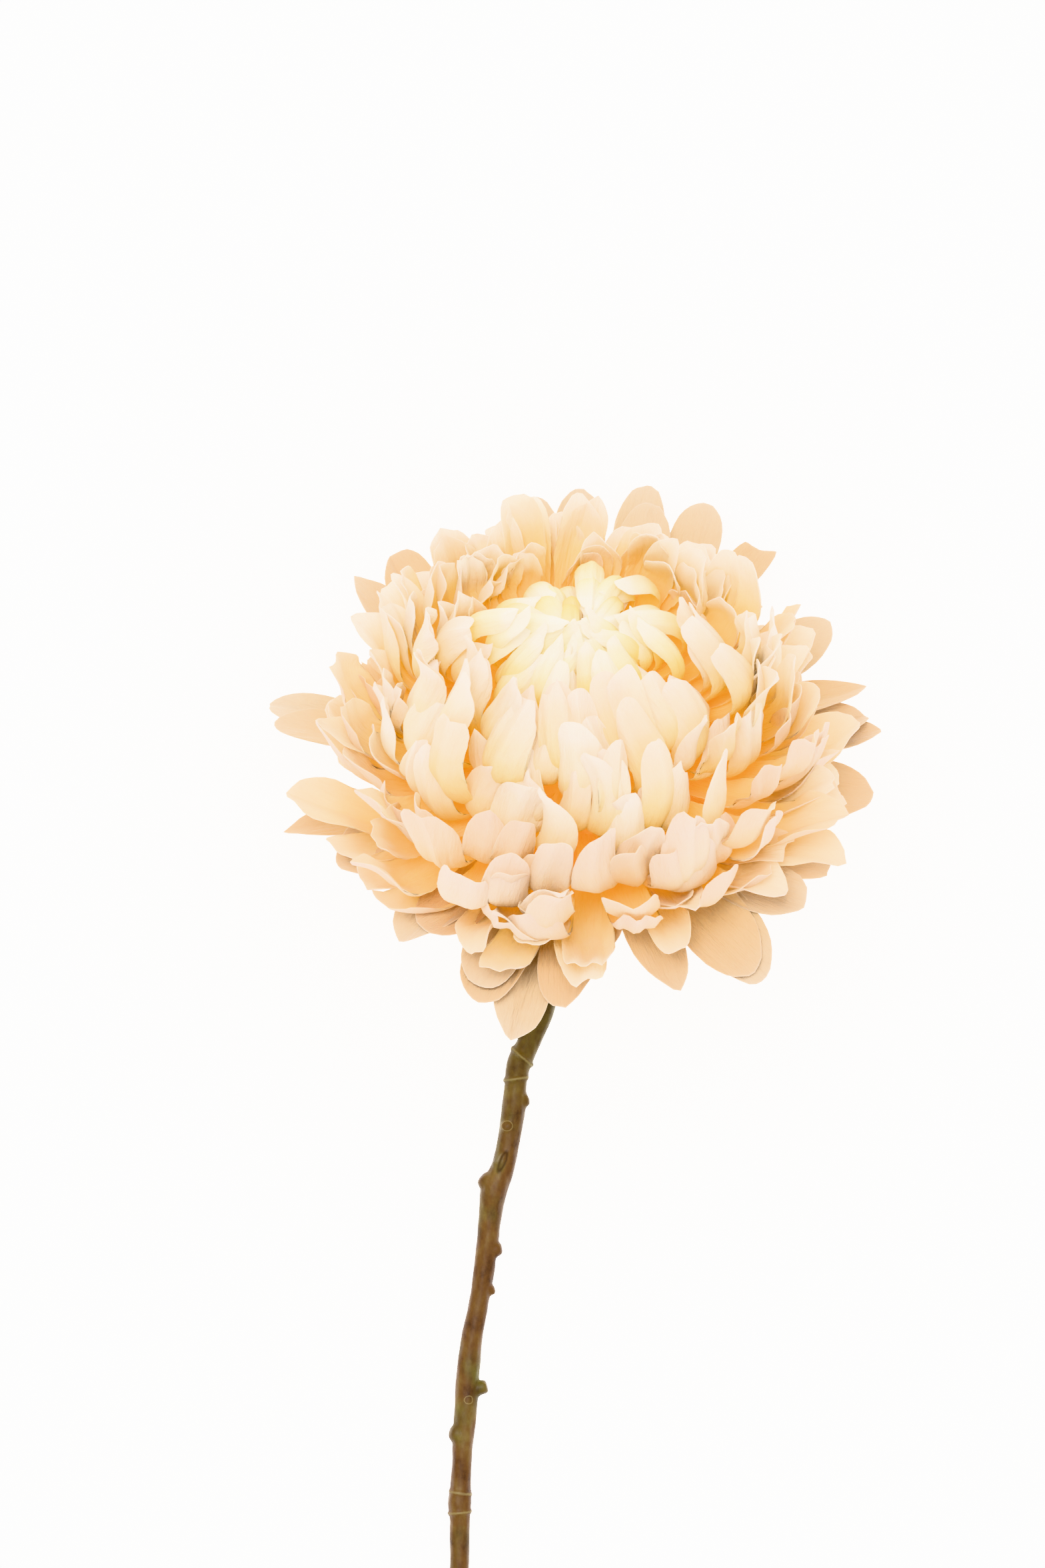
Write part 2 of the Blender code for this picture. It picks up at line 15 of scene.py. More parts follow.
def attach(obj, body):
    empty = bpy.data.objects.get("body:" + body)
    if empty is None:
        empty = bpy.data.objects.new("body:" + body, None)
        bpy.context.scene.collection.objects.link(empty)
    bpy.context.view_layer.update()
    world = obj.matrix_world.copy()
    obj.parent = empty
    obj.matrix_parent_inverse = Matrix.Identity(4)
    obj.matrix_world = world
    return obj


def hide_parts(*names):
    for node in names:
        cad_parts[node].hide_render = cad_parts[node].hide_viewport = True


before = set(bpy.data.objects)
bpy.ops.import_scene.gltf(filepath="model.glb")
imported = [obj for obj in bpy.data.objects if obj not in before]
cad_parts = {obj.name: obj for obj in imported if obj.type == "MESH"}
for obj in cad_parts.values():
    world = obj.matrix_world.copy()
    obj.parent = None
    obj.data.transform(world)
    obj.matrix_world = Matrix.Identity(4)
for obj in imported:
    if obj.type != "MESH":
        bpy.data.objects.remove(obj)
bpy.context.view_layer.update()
scene = bpy.context.scene

# The stem
# One shoot of soft plastic, injection moulded over a wire from a real twig. It has the twig's knuckles,
# leaf scars, buds, a thorn and cut side shoots, and is plainly cut off at its lower end.

MM = 0.001
# The route from the neck to the cut end: x, y, height of the middle and radius, in mm, as in the solids
STEM_ROUTE = (
    (0.0, 89.2, 28.4, 3.0),
    (-0.3, 82.7, 20.7, 2.8),
    (-1.2, 75.5, 13.4, 2.7),
    (-2.9, 66.0, 7.6, 2.7),
    (-5.4, 52.0, 4.4, 2.7),
    (-8.3, 40.0, 3.2, 2.7),
    (-11.6, 32.5, 3.0, 2.75),
    (-14.5, 25.9, 2.9, 2.9),
    (-15.1, 21.4, 2.9, 2.65),
    (-15.4, 17.0, 2.9, 2.9),
    (-16.4, 10.3, 2.9, 2.7),
    (-18.1, 1.4, 2.9, 2.8),
    (-20.4, -4.5, 3.2, 3.3),
    (-21.3, -10.0, 2.9, 2.9),
    (-22.2, -18.6, 2.9, 2.55),
    (-23.8, -30.5, 2.9, 2.4),
    (-25.7, -40.4, 2.9, 2.5),
    (-27.0, -50.4, 2.9, 2.8),
    (-27.6, -60.0, 2.9, 2.75),
    (-28.4, -70.5, 2.9, 2.4),
    (-28.8, -78.5, 2.9, 2.4),
    (-29.1, -82.9, 2.9, 2.9),
    (-29.0, -87.0, 2.9, 2.45),
    (-29.1, -98.4, 2.9, 2.3),
    (-30.0, -112.0, 2.9, 2.4),
    (-31.4, -124.0, 2.9, 2.9),
    (-31.6, -128.0, 2.9, 2.5),
    (-30.6, -143.0, 2.9, 2.4),
    (-28.8, -158.0, 2.9, 2.5),
    (-27.6, -170.7, 2.9, 2.5),
)
STEM_SPACING = 1.5 * MM
STEM_SIDES = 28
# Side shoots, thorns and buds: distance along Y in mm, angle round the stem from +X toward up, length
# out of the stem's middle, root and end radius in mm, and lean toward the bloom in degrees
STEM_STUBS = (
    (34.0, 168, 5.2, 1.3, 0.3, -20),
    (17.0, 10, 3.7, 2.0, 1.1, 15),
    (11.0, 118, 3.3, 1.9, 1.0, 20),
    (-1.0, 128, 3.6, 2.2, 0.8, 35),
    (-4.5, 176, 4.4, 2.6, 1.3, 25),
    (-20.5, 8, 3.7, 2.0, 1.2, 15),
    (-27.0, 4, 4.3, 1.5, 0.35, -40),
    (-54.5, 6, 5.2, 1.9, 1.5, 20),
    (-66.5, 174, 3.6, 2.6, 1.2, 15),
    (-124.5, 60, 4.2, 1.9, 0.8, 30),
    (-149.0, 150, 3.9, 1.9, 1.3, 20),
)
STUB_SIDES = 14
# Ridges round the stem where leaves sat: distance along Y, how far they stand out and half their length
# in mm, and their lean in degrees
STEM_RIDGES = (
    (28.8, 0.7, 0.8, 16),
    (23.0, 0.55, 0.7, -10),
    (-80.8, 0.4, 0.6, 4),
    (-84.6, 0.55, 0.6, -4),
    (-126.0, 0.5, 0.7, 8),
)
# Scars with a pale rim where buds broke off: place on the stem's upper side in mm, and radius of the rim
STEM_SCARS = (
    ((-17.3, 11.2, 5.6), 1.5),
    ((-26.9, -57.0, 5.4), 1.2),
    ((-30.6, -118.0, 5.2), 1.2),
)
SCAR_RIM = 0.35 * MM
# A closed bud in a hollow with painted shade round it: its middle, half length and radius in mm, and lean
# in degrees
STEM_BUD = ((-18.4, 2.2, 5.3), 3.7, 1.15, -22)
# The skin's paint adds a little to the moulding's radius
PAINT = 0.15 * MM
STEM_VOXEL = 0.42 * MM
STEM_SMOOTHING = 2
# Relief of the moulded bark: height, the length of its waves, and how it is drawn out along the stem
BARK_RELIEF = 0.16 * MM
BARK_LENGTH = 2.6 * MM
BARK_STRETCH = 0.35
# The paint's darker blotches, its green patches and the grain of the skin, and how far its lines wander
BLOTCH_SIZE = 3.57 * MM
PATCH_SIZE = 10.53 * MM
GRAIN_SIZE = 1.111 * MM
LINE_WANDER = 0.9 * MM


def unit(vector):
    return vector / np.linalg.norm(vector)


def new_piece(name, mesh, surface):
    """A mesh as an object of the scene, with its name and material."""
    mesh.name = name
    mesh.materials.append(surface)
    piece = bpy.data.objects.new(name, mesh)
    scene.collection.objects.link(piece)
    return piece


def linear(colour):
    """A hex colour as linear red, green, blue and alpha."""
    parts = [int(colour[at : at + 2], 16) / 255 for at in (1, 3, 5)]
    return tuple(p / 12.92 if p <= 0.04045 else ((p + 0.055) / 1.055) ** 2.4 for p in parts) + (1.0,)


# The sockets of a node that mixes two colours
MIX, LOW, HIGH = 0, 6, 7


def add_node(surface, kind, settings=None, links=None):
    """A shader node with its settings, and links to its inputs from other nodes or their outputs.

    From a node, the first output that is in use is linked. A ramp's stops are (place, hex colour).
    """
    made = surface.node_tree.nodes.new("ShaderNode" + kind)
    for name, value in (settings or {}).items():
        if name == "stops":
            elements = made.color_ramp.elements
            while len(elements) < len(value):
                elements.new(0.5)
            for element, (place, colour) in zip(elements, value):
                element.position = place
                element.color = linear(colour)
        elif isinstance(name, int) or name in made.inputs:
            made.inputs[name].default_value = value
        else:
            setattr(made, name, value)
    for name, source in (links or {}).items():
        if isinstance(source, bpy.types.Node):
            source = next(output for output in source.outputs if output.enabled)
        surface.node_tree.links.new(source, made.inputs[name])
    return made


def new_material(name):
    """An empty material."""
    surface = bpy.data.materials.new(name)
    surface.use_nodes = True
    surface.node_tree.nodes.clear()
    return surface


def smooth_route(points, spacing):
    """Points along a smooth curve through x, y, z and radius, about one spacing apart."""
    points = np.array(points) * MM
    samples = []
    for index in range(len(points) - 1):
        before = points[max(index - 1, 0)]
        here, there = points[index], points[index + 1]
        after = points[min(index + 2, len(points) - 1)]
        steps = max(1, round(float(np.linalg.norm(there[:3] - here[:3])) / spacing))
        for step in range(steps):
            t = step / steps
            square = 2 * before - 5 * here + 4 * there - after
            cube = 3 * here - before - 3 * there + after
            samples.append(0.5 * (2 * here + (there - before) * t + square * t**2 + cube * t**3))
    samples.append(points[-1])
    return samples


def stem_frames(samples):
    """Each sample of the route as its middle, radius, and the directions to its right and up."""
    frames = []
    for index, sample in enumerate(samples):
        ahead = samples[min(index + 1, len(samples) - 1)][:3] - samples[max(index - 1, 0)][:3]
        along = unit(ahead)
        right = unit(np.cross(along, np.array((0.0, -along[2], -along[1]))))
        right = right if right[0] > 0 else -right
        up = np.cross(along, right)
        up = up if up[2] > 0 else -up
        frames.append((sample[:3], sample[3], right, up))
    return frames


def tube(rings):
    """Corners and faces of a closed tube through rings of corners."""
    sides = len(rings[0])
    corners = [corner for ring in rings for corner in ring]
    faces = [tuple(reversed(range(sides))), tuple(range(len(corners) - sides, len(corners)))]
    for ring in range(len(rings) - 1):
        low, high = ring * sides, (ring + 1) * sides
        for side in range(sides):
            after = (side + 1) % sides
            faces.append((low + side, low + after, high + after, high + side))
    return corners, faces


def circle(middle, radius, right, up, sides):
    turns = [2 * math.pi * side / sides for side in range(sides)]
    return [middle + (right * math.cos(turn) + up * math.sin(turn)) * radius for turn in turns]


def stub(frames, along, turn, length, root_radius, end_radius, lean):
    """A short tapered shoot that starts in the stem's middle, with a rounded end."""
    middle, _, right, up = min(frames, key=lambda ring: abs(ring[0][1] - along * MM))
    turn, lean = math.radians(turn), math.radians(lean)
    to_bloom = unit(np.cross(right, up))
    to_bloom = to_bloom if to_bloom[1] > 0 else -to_bloom
    out = (right * math.cos(turn) + up * math.sin(turn)) * math.cos(lean) + to_bloom * math.sin(lean)
    one = unit(np.cross(out, up if abs(float(out @ up)) < 0.9 else right))
    two = np.cross(out, one)
    rings = []
    for part, share in ((0.0, 1.0), (0.35, 0.95), (0.7, 0.7), (0.92, 0.3), (1.0, -0.25)):
        radius = max(0.12, end_radius + (root_radius - end_radius) * share)
        rings.append(circle(middle + out * length * MM * part, radius * MM, one, two, STUB_SIDES))
    return tube(rings)


def ridge_plane(frames, along, lean):
    """The stem's middle and radius at a ridge, and the directions across, up and along it."""
    middle, radius, right, up = min(frames, key=lambda ring: abs(ring[0][1] - along * MM))
    lean = math.radians(lean)
    down = unit(np.cross(right, up))
    return middle, radius, right * math.cos(lean) + down * math.sin(lean), up, down


def ridge(frames, along, height, half_length, lean):
    """A low ring round the stem, as a short tube whose ends are inside it."""
    middle, radius, leaning, up, down = ridge_plane(frames, along, lean)
    rings = []
    for place, share in ((-1.0, -1.0), (-0.4, 0.75), (0.0, 1.0), (0.4, 0.75), (1.0, -1.0)):
        centre = middle + down * place * half_length * MM
        rings.append(circle(centre, radius + share * height * MM, leaning, up, STEM_SIDES))
    return tube(rings)


def bud(place, half_length, radius, lean):
    """A bud that lies along the stem, as a spindle."""
    lean = math.radians(lean)
    along = np.array((-math.sin(lean), math.cos(lean), 0.0))
    right = np.array((math.cos(lean), math.sin(lean), 0.0))
    rings = []
    for part in (-0.98, -0.75, -0.4, 0.0, 0.4, 0.75, 0.98):
        centre = np.array(place) * MM + along * part * half_length * MM
        rings.append(
            circle(centre, radius * MM * (1 - part**2), right, np.array((0.0, 0.0, 1.0)), STUB_SIDES)
        )
    return tube(rings)


def shells_mesh(shells):
    """One mesh of closed shells, each given as its corners and faces, whose faces all turn outward."""
    work = bmesh.new()
    for corners, faces in shells:
        made = [work.verts.new(tuple(corner)) for corner in corners]
        for face in faces:
            work.faces.new([made[index] for index in face])
    bmesh.ops.recalc_face_normals(work, faces=work.faces)
    mesh = bpy.data.meshes.new("shells")
    work.to_mesh(mesh)
    work.free()
    return mesh


def stem_plastic(frames):
    """Moulded soft plastic, painted: olive green near the bloom, brown lower, with darker blotches, pale
    rims round the scars and on the ridges. It gives a low, even gloss that breaks on the bark's relief."""
    surface = new_material("stem_moulded_soft_plastic")
    place = add_node(surface, "TexCoord").outputs["Object"]
    parts = add_node(surface, "SeparateXYZ", links={"Vector": place})
    blotch_place = add_node(surface, "Mapping", {"Scale": (1.0, 0.6, 1.0)}, {"Vector": place})
    blotches = add_node(
        surface,
        "TexNoise",
        {"Scale": 1 / BLOTCH_SIZE, "Detail": 5.0, "Roughness": 0.62},
        {"Vector": blotch_place},
    )
    patches = add_node(
        surface,
        "TexNoise",
        {"Scale": 1 / PATCH_SIZE, "Detail": 3.0, "Roughness": 0.5},
        {"Vector": blotch_place},
    )
    brown = add_node(
        surface,
        "ValToRGB",
        {"stops": ((0.3, "#36200e"), (0.45, "#4d331a"), (0.57, "#553c1e"), (0.72, "#5f4a28"))},
        {"Fac": blotches},
    )
    olive = add_node(
        surface,
        "ValToRGB",
        {"stops": ((0.32, "#3c3016"), (0.46, "#4a4420"), (0.6, "#524f26"), (0.74, "#5e5c30"))},
        {"Fac": blotches},
    )
    # Greener toward the bloom, and in patches lower down
    height = add_node(
        surface,
        "MapRange",
        {"From Min": 0.0, "From Max": 0.045, "To Min": 0.0, "To Max": 0.75},
        {"Value": parts.outputs["Y"]},
    )
    patch = add_node(
        surface,
        "MapRange",
        {"From Min": 0.5, "From Max": 0.72, "To Min": 0.0, "To Max": 0.9},
        {"Value": patches},
    )
    green = add_node(surface, "Math", {"operation": "MAXIMUM"}, {0: height, 1: patch})
    colour = add_node(surface, "Mix", {"data_type": "RGBA"}, {MIX: green, LOW: brown, HIGH: olive})
    # What is painted over that, as (where, colour). Rims and lines wander with the blotches.
    marks = []
    uneven = add_node(
        surface,
        "VectorMath",
        {"operation": "MULTIPLY_ADD", 1: (LINE_WANDER, LINE_WANDER, LINE_WANDER)},
        {0: blotches.outputs["Color"], 2: place},
    )
    for scar_place, scar_radius in STEM_SCARS:
        spot = add_node(
            surface,
            "VectorMath",
            {"operation": "DISTANCE", 1: tuple(value * MM + LINE_WANDER / 2 for value in scar_place)},
            {0: uneven},
        )
        inside = add_node(
            surface,
            "MapRange",
            {"From Min": scar_radius * MM, "From Max": scar_radius * MM - SCAR_RIM},
            {"Value": spot},
        )
        rim = add_node(
            surface,
            "ValToRGB",
            {"stops": ((0.0, "#000000"), (0.45, "#b0b0b0"), (0.9, "#202020"))},
            {"Fac": inside},
        )
        marks.append((rim, "#8f8056"))
    # Each ridge has a paler line along it, in patches
    for along, _, _, lean in STEM_RIDGES:
        middle, _, leaning, up, _ = ridge_plane(frames, along, lean)
        normal = unit(np.cross(leaning, up))
        level = add_node(
            surface, "VectorMath", {"operation": "DOT_PRODUCT", 1: tuple(normal)}, {0: uneven}
        )
        away = add_node(
            surface,
            "Math",
            {"operation": "SUBTRACT", 1: float(normal @ (middle + LINE_WANDER / 2))},
            {0: level},
        )
        beside_line = add_node(surface, "Math", {"operation": "ABSOLUTE"}, {0: away})
        line = add_node(
            surface,
            "MapRange",
            {"From Min": 0.4 * MM, "From Max": 0.1 * MM, "To Max": 0.9},
            {"Value": beside_line},
        )
        paler_line = add_node(surface, "Math", {"operation": "MULTIPLY"}, {0: line, 1: patches})
        marks.append((paler_line, "#857a52"))
    # Painted shade darkens the hollow round the bud, whose scale is a paler green
    bud_place, bud_half, bud_radius, bud_lean = STEM_BUD
    hollow_place = add_node(
        surface,
        "Mapping",
        {
            "vector_type": "TEXTURE",
            "Location": tuple(value * MM for value in bud_place),
            "Rotation": (0, 0, math.radians(bud_lean)),
            "Scale": (bud_radius * MM, bud_half * MM, 2 * MM),
        },
        {"Vector": place},
    )
    hollow = add_node(surface, "VectorMath", {"operation": "LENGTH"}, {0: hollow_place})
    # A dark ring of painted shade round the bud
    painted_light = add_node(
        surface,
        "ValToRGB",
        {"stops": ((0.55, "#000000"), (0.75, "#e0e0e0"), (1.0, "#000000"))},
        {"Fac": hollow},
    )
    scale = add_node(surface, "ValToRGB", {"stops": ((0.2, "#a0a0a0"), (0.5, "#000000"))}, {"Fac": hollow})
    marks += [(painted_light, "#24150a"), (scale, "#7d7a42")]
    for mark, paint in marks:
        colour = add_node(
            surface, "Mix", {"data_type": "RGBA", HIGH: linear(paint)}, {MIX: mark, LOW: colour}
        )
    grain = add_node(
        surface,
        "TexNoise",
        {"Scale": 1 / GRAIN_SIZE, "Detail": 4.0, "Roughness": 0.6},
        {"Vector": blotch_place},
    )
    bump = add_node(surface, "Bump", {"Strength": 0.5, "Distance": 0.12 * MM}, {"Height": grain})
    plastic = add_node(
        surface,
        "BsdfPrincipled",
        {"Roughness": 0.5, "IOR": 1.5, "Specular IOR Level": 0.2},
        {"Base Color": colour, "Normal": bump},
    )
    add_node(surface, "OutputMaterial", links={"Surface": plastic})
    return surface


def moulded(piece, voxel, smoothing):
    """Fuses a piece's overlapping shells into one skin with soft inner corners."""
    fuse = piece.modifiers.new("fuse", "REMESH")
    fuse.mode = "VOXEL"
    fuse.voxel_size = voxel
    soften = piece.modifiers.new("soften", "SMOOTH")
    soften.factor = 0.5
    soften.iterations = smoothing
    bpy.context.view_layer.objects.active = piece
    for modifier in list(piece.modifiers):
        bpy.ops.object.modifier_apply(modifier=modifier.name)


stem_line = stem_frames(smooth_route(STEM_ROUTE, STEM_SPACING))
stem_shells = [tube([circle(*ring, STEM_SIDES) for ring in stem_line])]
stem_shells += [stub(stem_line, *sizes) for sizes in STEM_STUBS]
stem_shells += [ridge(stem_line, *sizes) for sizes in STEM_RIDGES]
stem_shells.append(bud(*STEM_BUD))
stem_piece = new_piece("stem_moulding", shells_mesh(stem_shells), stem_plastic(stem_line))
moulded(stem_piece, STEM_VOXEL, STEM_SMOOTHING)
skin = np.array([vertex.co for vertex in stem_piece.data.vertices])
outward = np.array([vertex.normal for vertex in stem_piece.data.vertices])
bark = [noise.fractal(Vector(place * (1, BARK_STRETCH, 1) / BARK_LENGTH), 0.7, 2.0, 3) for place in skin]
skin = skin + outward * (np.array(bark)[:, None] * BARK_RELIEF + PAINT)
skin[:, 2] = np.maximum(skin[:, 2], 0.0)
stem_piece.data.vertices.foreach_set("co", skin.astype(np.float32).reshape(-1))
stem_piece.data.shade_smooth()
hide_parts("stem")
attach(stem_piece, "root")

# The calyx
# The green cup that the layers of petals are pressed onto, moulded in the stem's plastic with its ring
# of pointed sepals. Most of it is hidden behind the bloom.

# The bloom's centre, and its axis, which leans toward +Y: as in the solids
BLOOM_CENTRE = np.array((0.0, 0.1065, 0.049))
BLOOM_LEAN = math.radians(40)
AXIS = np.array((0.0, math.sin(BLOOM_LEAN), math.cos(BLOOM_LEAN)))
SIDE = np.array((1.0, 0.0, 0.0))
CREST = np.array((0.0, math.cos(BLOOM_LEAN), -math.sin(BLOOM_LEAN)))
# Heights behind the bloom's centre and radii of the cup, in mm
CALYX_PROFILE = (
    (15.2, 11.0),
    (15.6, 13.0),
    (17.0, 13.6),
    (18.6, 12.6),
    (20.0, 11.0),
    (21.6, 8.6),
    (23.0, 6.6),
    (24.8, 4.9),
    (26.3, 4.1),
    (26.5, 3.6),
)
CALYX_SIDES = 60
CALYX_RIBS = 15
CALYX_RIB_DEPTH = 0.035
SEPALS = 9
SEPAL_ROOT_DEPTH = 16.4 * MM
SEPAL_ROOT_REACH = 9 * MM
SEPAL_LENGTH = 15 * MM
SEPAL_WIDTH = 6 * MM
SEPAL_THICKNESS = 0.7 * MM
SEPAL_ROWS = 16
SEPAL_COLUMNS = 8
SEPAL_DROOP = 1.2 * MM
SEPAL_MIDRIB = 0.5 * MM
# A bend sharper than this many degrees shows as a corner
CALYX_CORNER = 50
MOTTLE_SIZE = 3.85 * MM


def calyx_plastic():
    """The stem's soft plastic in green, with a faint mottle."""
    surface = new_material("calyx_moulded_soft_plastic")
    place = add_node(surface, "TexCoord").outputs["Object"]
    mottle = add_node(
        surface,
        "TexNoise",
        {"Scale": 1 / MOTTLE_SIZE, "Detail": 4.0, "Roughness": 0.6},
        {"Vector": place},
    )
    colour = add_node(
        surface,
        "ValToRGB",
        {"stops": ((0.3, "#33330f"), (0.5, "#484a1c"), (0.7, "#5c632e"))},
        {"Fac": mottle},
    )
    bump = add_node(surface, "Bump", {"Strength": 0.4, "Distance": 0.1 * MM}, {"Height": mottle})
    plastic = add_node(
        surface,
        "BsdfPrincipled",
        {"Roughness": 0.55, "IOR": 1.5, "Specular IOR Level": 0.2},
        {"Base Color": colour, "Normal": bump},
    )
    add_node(surface, "OutputMaterial", links={"Surface": plastic})
    return surface


def radial(turn):
    """The directions out of the bloom's axis and round it, at an angle."""
    return SIDE * math.cos(turn) + CREST * math.sin(turn), CREST * math.cos(turn) - SIDE * math.sin(turn)


def grid_shell(front, back):
    """A closed shell between two grids of corners: both faces and the rim."""
    rows, columns = front.shape[:2]
    corners = np.concatenate((front.reshape(-1, 3), back.reshape(-1, 3)))
    index = np.arange(rows * columns).reshape(rows, columns)
    quads = np.stack((index[:-1, :-1], index[:-1, 1:], index[1:, 1:], index[1:, :-1]), -1).reshape(-1, 4)
    rim = np.concatenate((index[0, :], index[1:, -1], index[-1, -2::-1], index[-2:0:-1, 0]))
    after = np.roll(rim, -1)
    shift = rows * columns
    sides = np.stack((rim, rim + shift, after + shift, after), -1)
    return corners, np.concatenate((quads, quads[:, ::-1] + shift, sides))


def sepal(index):
    """One pointed sepal with a raised midrib, as a closed shell."""
    out, across = radial(2 * math.pi * (index + 0.5) / SEPALS)
    root = BLOOM_CENTRE - AXIS * SEPAL_ROOT_DEPTH + out * SEPAL_ROOT_REACH
    part = np.linspace(0, 1, SEPAL_ROWS + 1)[:, None, None]
    side = np.linspace(-1, 1, SEPAL_COLUMNS + 1)[None, :, None]
    width = SEPAL_WIDTH / 2 * np.clip(1 - part**3, 0.02, 1) * (0.8 + 0.5 * part)
    droop = -SEPAL_DROOP * part**2 * (index % 3) / 2
    rib = -SEPAL_MIDRIB * np.clip(1 - 3 * np.abs(side), 0, 1) * (1 - part)
    middle = root + out * SEPAL_LENGTH * part + across * side * width + AXIS * (droop + rib)
    half = AXIS * SEPAL_THICKNESS / 2 * (1 - 0.7 * side**2)
    return grid_shell(middle + half, middle - half)


calyx_rings = []
for behind, radius in CALYX_PROFILE:
    ring = []
    for calyx_side in range(CALYX_SIDES):
        turn = 2 * math.pi * calyx_side / CALYX_SIDES
        ribbed = radius * (1 + CALYX_RIB_DEPTH * math.cos(CALYX_RIBS * turn))
        ring.append(BLOOM_CENTRE - AXIS * behind * MM + radial(turn)[0] * ribbed * MM)
    calyx_rings.append(ring)
calyx_shells = [tube(calyx_rings)] + [sepal(index) for index in range(SEPALS)]
calyx_piece = new_piece("calyx_moulding", shells_mesh(calyx_shells), calyx_plastic())
calyx_piece.data.shade_smooth()
calyx_piece.data.set_sharp_from_angle(angle=math.radians(CALYX_CORNER))
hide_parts("calyx")
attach(calyx_piece, "root")

# The petals
# Stampings of thin satin cloth, airbrushed orange or yellow from the middle out, pressed into cups with
# a hot tool and threaded in layers on a pin. Their cut edges fray, and the heat leaves creases across them.

# The core that stands for the layers' middles: radius at its waist, height to the front, depth to the back
CORE_WAIST = 31 * MM
CORE_FRONT = 34 * MM
CORE_BACK = 15 * MM
CORE_SIDES = 48
CORE_RINGS = 10
OUTER_TOP = 5.6 * MM
MIDDLE_TOP = 22.7 * MM
CORE_GAP = 0.3 * MM
CORE_NOSE_CUT = 0.2 * MM

# Rows of petals, as in the solids: node, the angle of their roots from the bloom's axis, their number,
# length and width in mm, how far they open past their root's own angle, how far they curl toward the
# axis, the part of their length where that bend's middle is, the half angle of their cup, and how
# pointed they are
PETAL_ROWS = (
    ("petals_outer", 112, 16, 45, 15.0, 0, 60, 0.56, 40, 0.0),
    ("petals_outer", 103, 16, 44, 15.0, 1, 70, 0.55, 44, 0.0),
    ("petals_outer", 94, 17, 43, 15.0, 3, 78, 0.54, 48, 0.0),
    ("petals_outer", 85, 17, 43, 15.0, 5, 80, 0.53, 50, 0.05),
    ("petals_middle", 76, 17, 42, 13.5, 7, 88, 0.52, 54, 0.05),
    ("petals_middle", 67, 17, 41, 13.5, 8, 90, 0.50, 56, 0.1),
    ("petals_middle", 58, 16, 40, 13.0, 9, 93, 0.49, 58, 0.1),
    ("petals_middle", 50, 14, 38, 12.5, 10, 96, 0.48, 58, 0.2),
    ("petals_heart", 38, 13, 35, 10.0, 14, 106, 0.46, 58, 0.4),
    ("petals_heart", 30, 11, 33, 9.5, 18, 112, 0.46, 58, 0.5),
    ("petals_heart", 22, 9, 30, 8.5, 22, 116, 0.46, 58, 0.6),
    ("petals_heart", 14, 7, 26, 8.0, 26, 120, 0.46, 58, 0.6),
    ("petals_heart", 7, 5, 22, 7.0, 28, 120, 0.46, 56, 0.6),
)
# The petals that make the outline: angle round the axis, anticlockwise from +X, angle of the root from
# the axis, length and width in mm, opening angle from the axis, curl, and how pointed
OUTLINE_PETALS = (
    (15, 124, 64, 15, 104, 22, 0.1),
    (0, 124, 60, 17, 106, 22, 0.15),
    (-20, 124, 56, 17, 106, 20, 0.1),
    (-35, 125, 53, 16, 106, 28, 0.1),
    (-49, 126, 57, 20, 106, 14, 0.1),
    (-68, 126, 54, 15, 104, 18, 0.7),
    (-85, 126, 43, 15, 104, 24, 0.2),
    (-103, 127, 61, 16, 106, 12, 0.15),
    (-111, 126, 57, 17, 106, 20, 0.1),
    (-132, 124, 50, 16, 104, 26, 0.2),
    (-155, 124, 51, 15, 104, 26, 0.2),
    (-170, 124, 59, 11, 102, 14, 0.7),
    (160, 124, 66, 12, 100, 12, 0.2),
    (135, 104, 56, 13, 92, 24, 0.6),
    (129, 100, 51, 14, 88, 22, 0.3),
    (97, 98, 53, 14, 88, 24, 0.2),
    (89, 96, 53, 13, 86, 20, 0.1),
    (76, 96, 54, 13, 86, 18, 0.1),
    (65, 98, 54, 14, 88, 24, 0.1),
    (55, 100, 58, 11, 90, 18, 0.2),
    (35, 108, 56, 14, 98, 24, 0.3),
    (24, 112, 58, 12, 100, 16, 0.8),
    (42, 125, 52, 16, 104, 26, 0.2),
    (61, 125, 57, 17, 108, 22, 0.1),
    (80, 125, 48, 16, 103, 34, 0.2),
    (100, 125, 48, 16, 104, 34, 0.2),
    (120, 125, 57, 17, 108, 22, 0.1),
    (142, 125, 52, 16, 104, 26, 0.2),
)
OUTLINE_BEND = 0.62
OUTLINE_CUP = 28
OUTLINE_TWIST = 6

# Petals toward the stem curl more and are longer than those of their row toward the crest
CURL_SWING = 0.3
LENGTH_SWING = 0.22
# Above the bloom's middle the outer petals are cut shorter, by up to the first of these shares, and
# below it the heart's are, by up to the second. The heart's petals above it curl more, by the third.
CREST_CUT = 0.24
HEART_CUT = 0.2
HEART_CURL = 0.6
# What differs by chance from one petal of a row to the next, as in the solids
SEED = 127
CLOTH_SEED = 11
AZIMUTH_PLAY = 0.25
POLAR_PLAY = 1.0
LENGTH_PLAY = 0.15
WIDTH_PLAY = 0.14
CURL_PLAY = 0.15
TWIST_PLAY = 24
SWAY_PLAY = 12

# Every petal, as in the solids: how deep its root is sunk, its outline, its bend, and how it lies down
ROOT_DEPTH = 3.5 * MM
ROOT_WIDTH = 0.36
WIDEST = 0.68
ROOT_CUP = 50
TIP_FULLNESS = 3.4
POINTED_FULLNESS = -1.8
TIP_CLOSING = 0.5
POINTED_CLOSING = 0.45
BEND_SPAN = 0.72
SPINE_STEPS = 28
# A petal's cut may run past its nominal length by this factor
LONGEST = 1.15
PRESS_HEIGHT = 9 * MM
PRESS_CLIMB = 0.6
PRESS_CLEARANCE = 1.0 * MM
FEET = (61, 120)
FOOT_CLEARANCE = 0.25 * MM

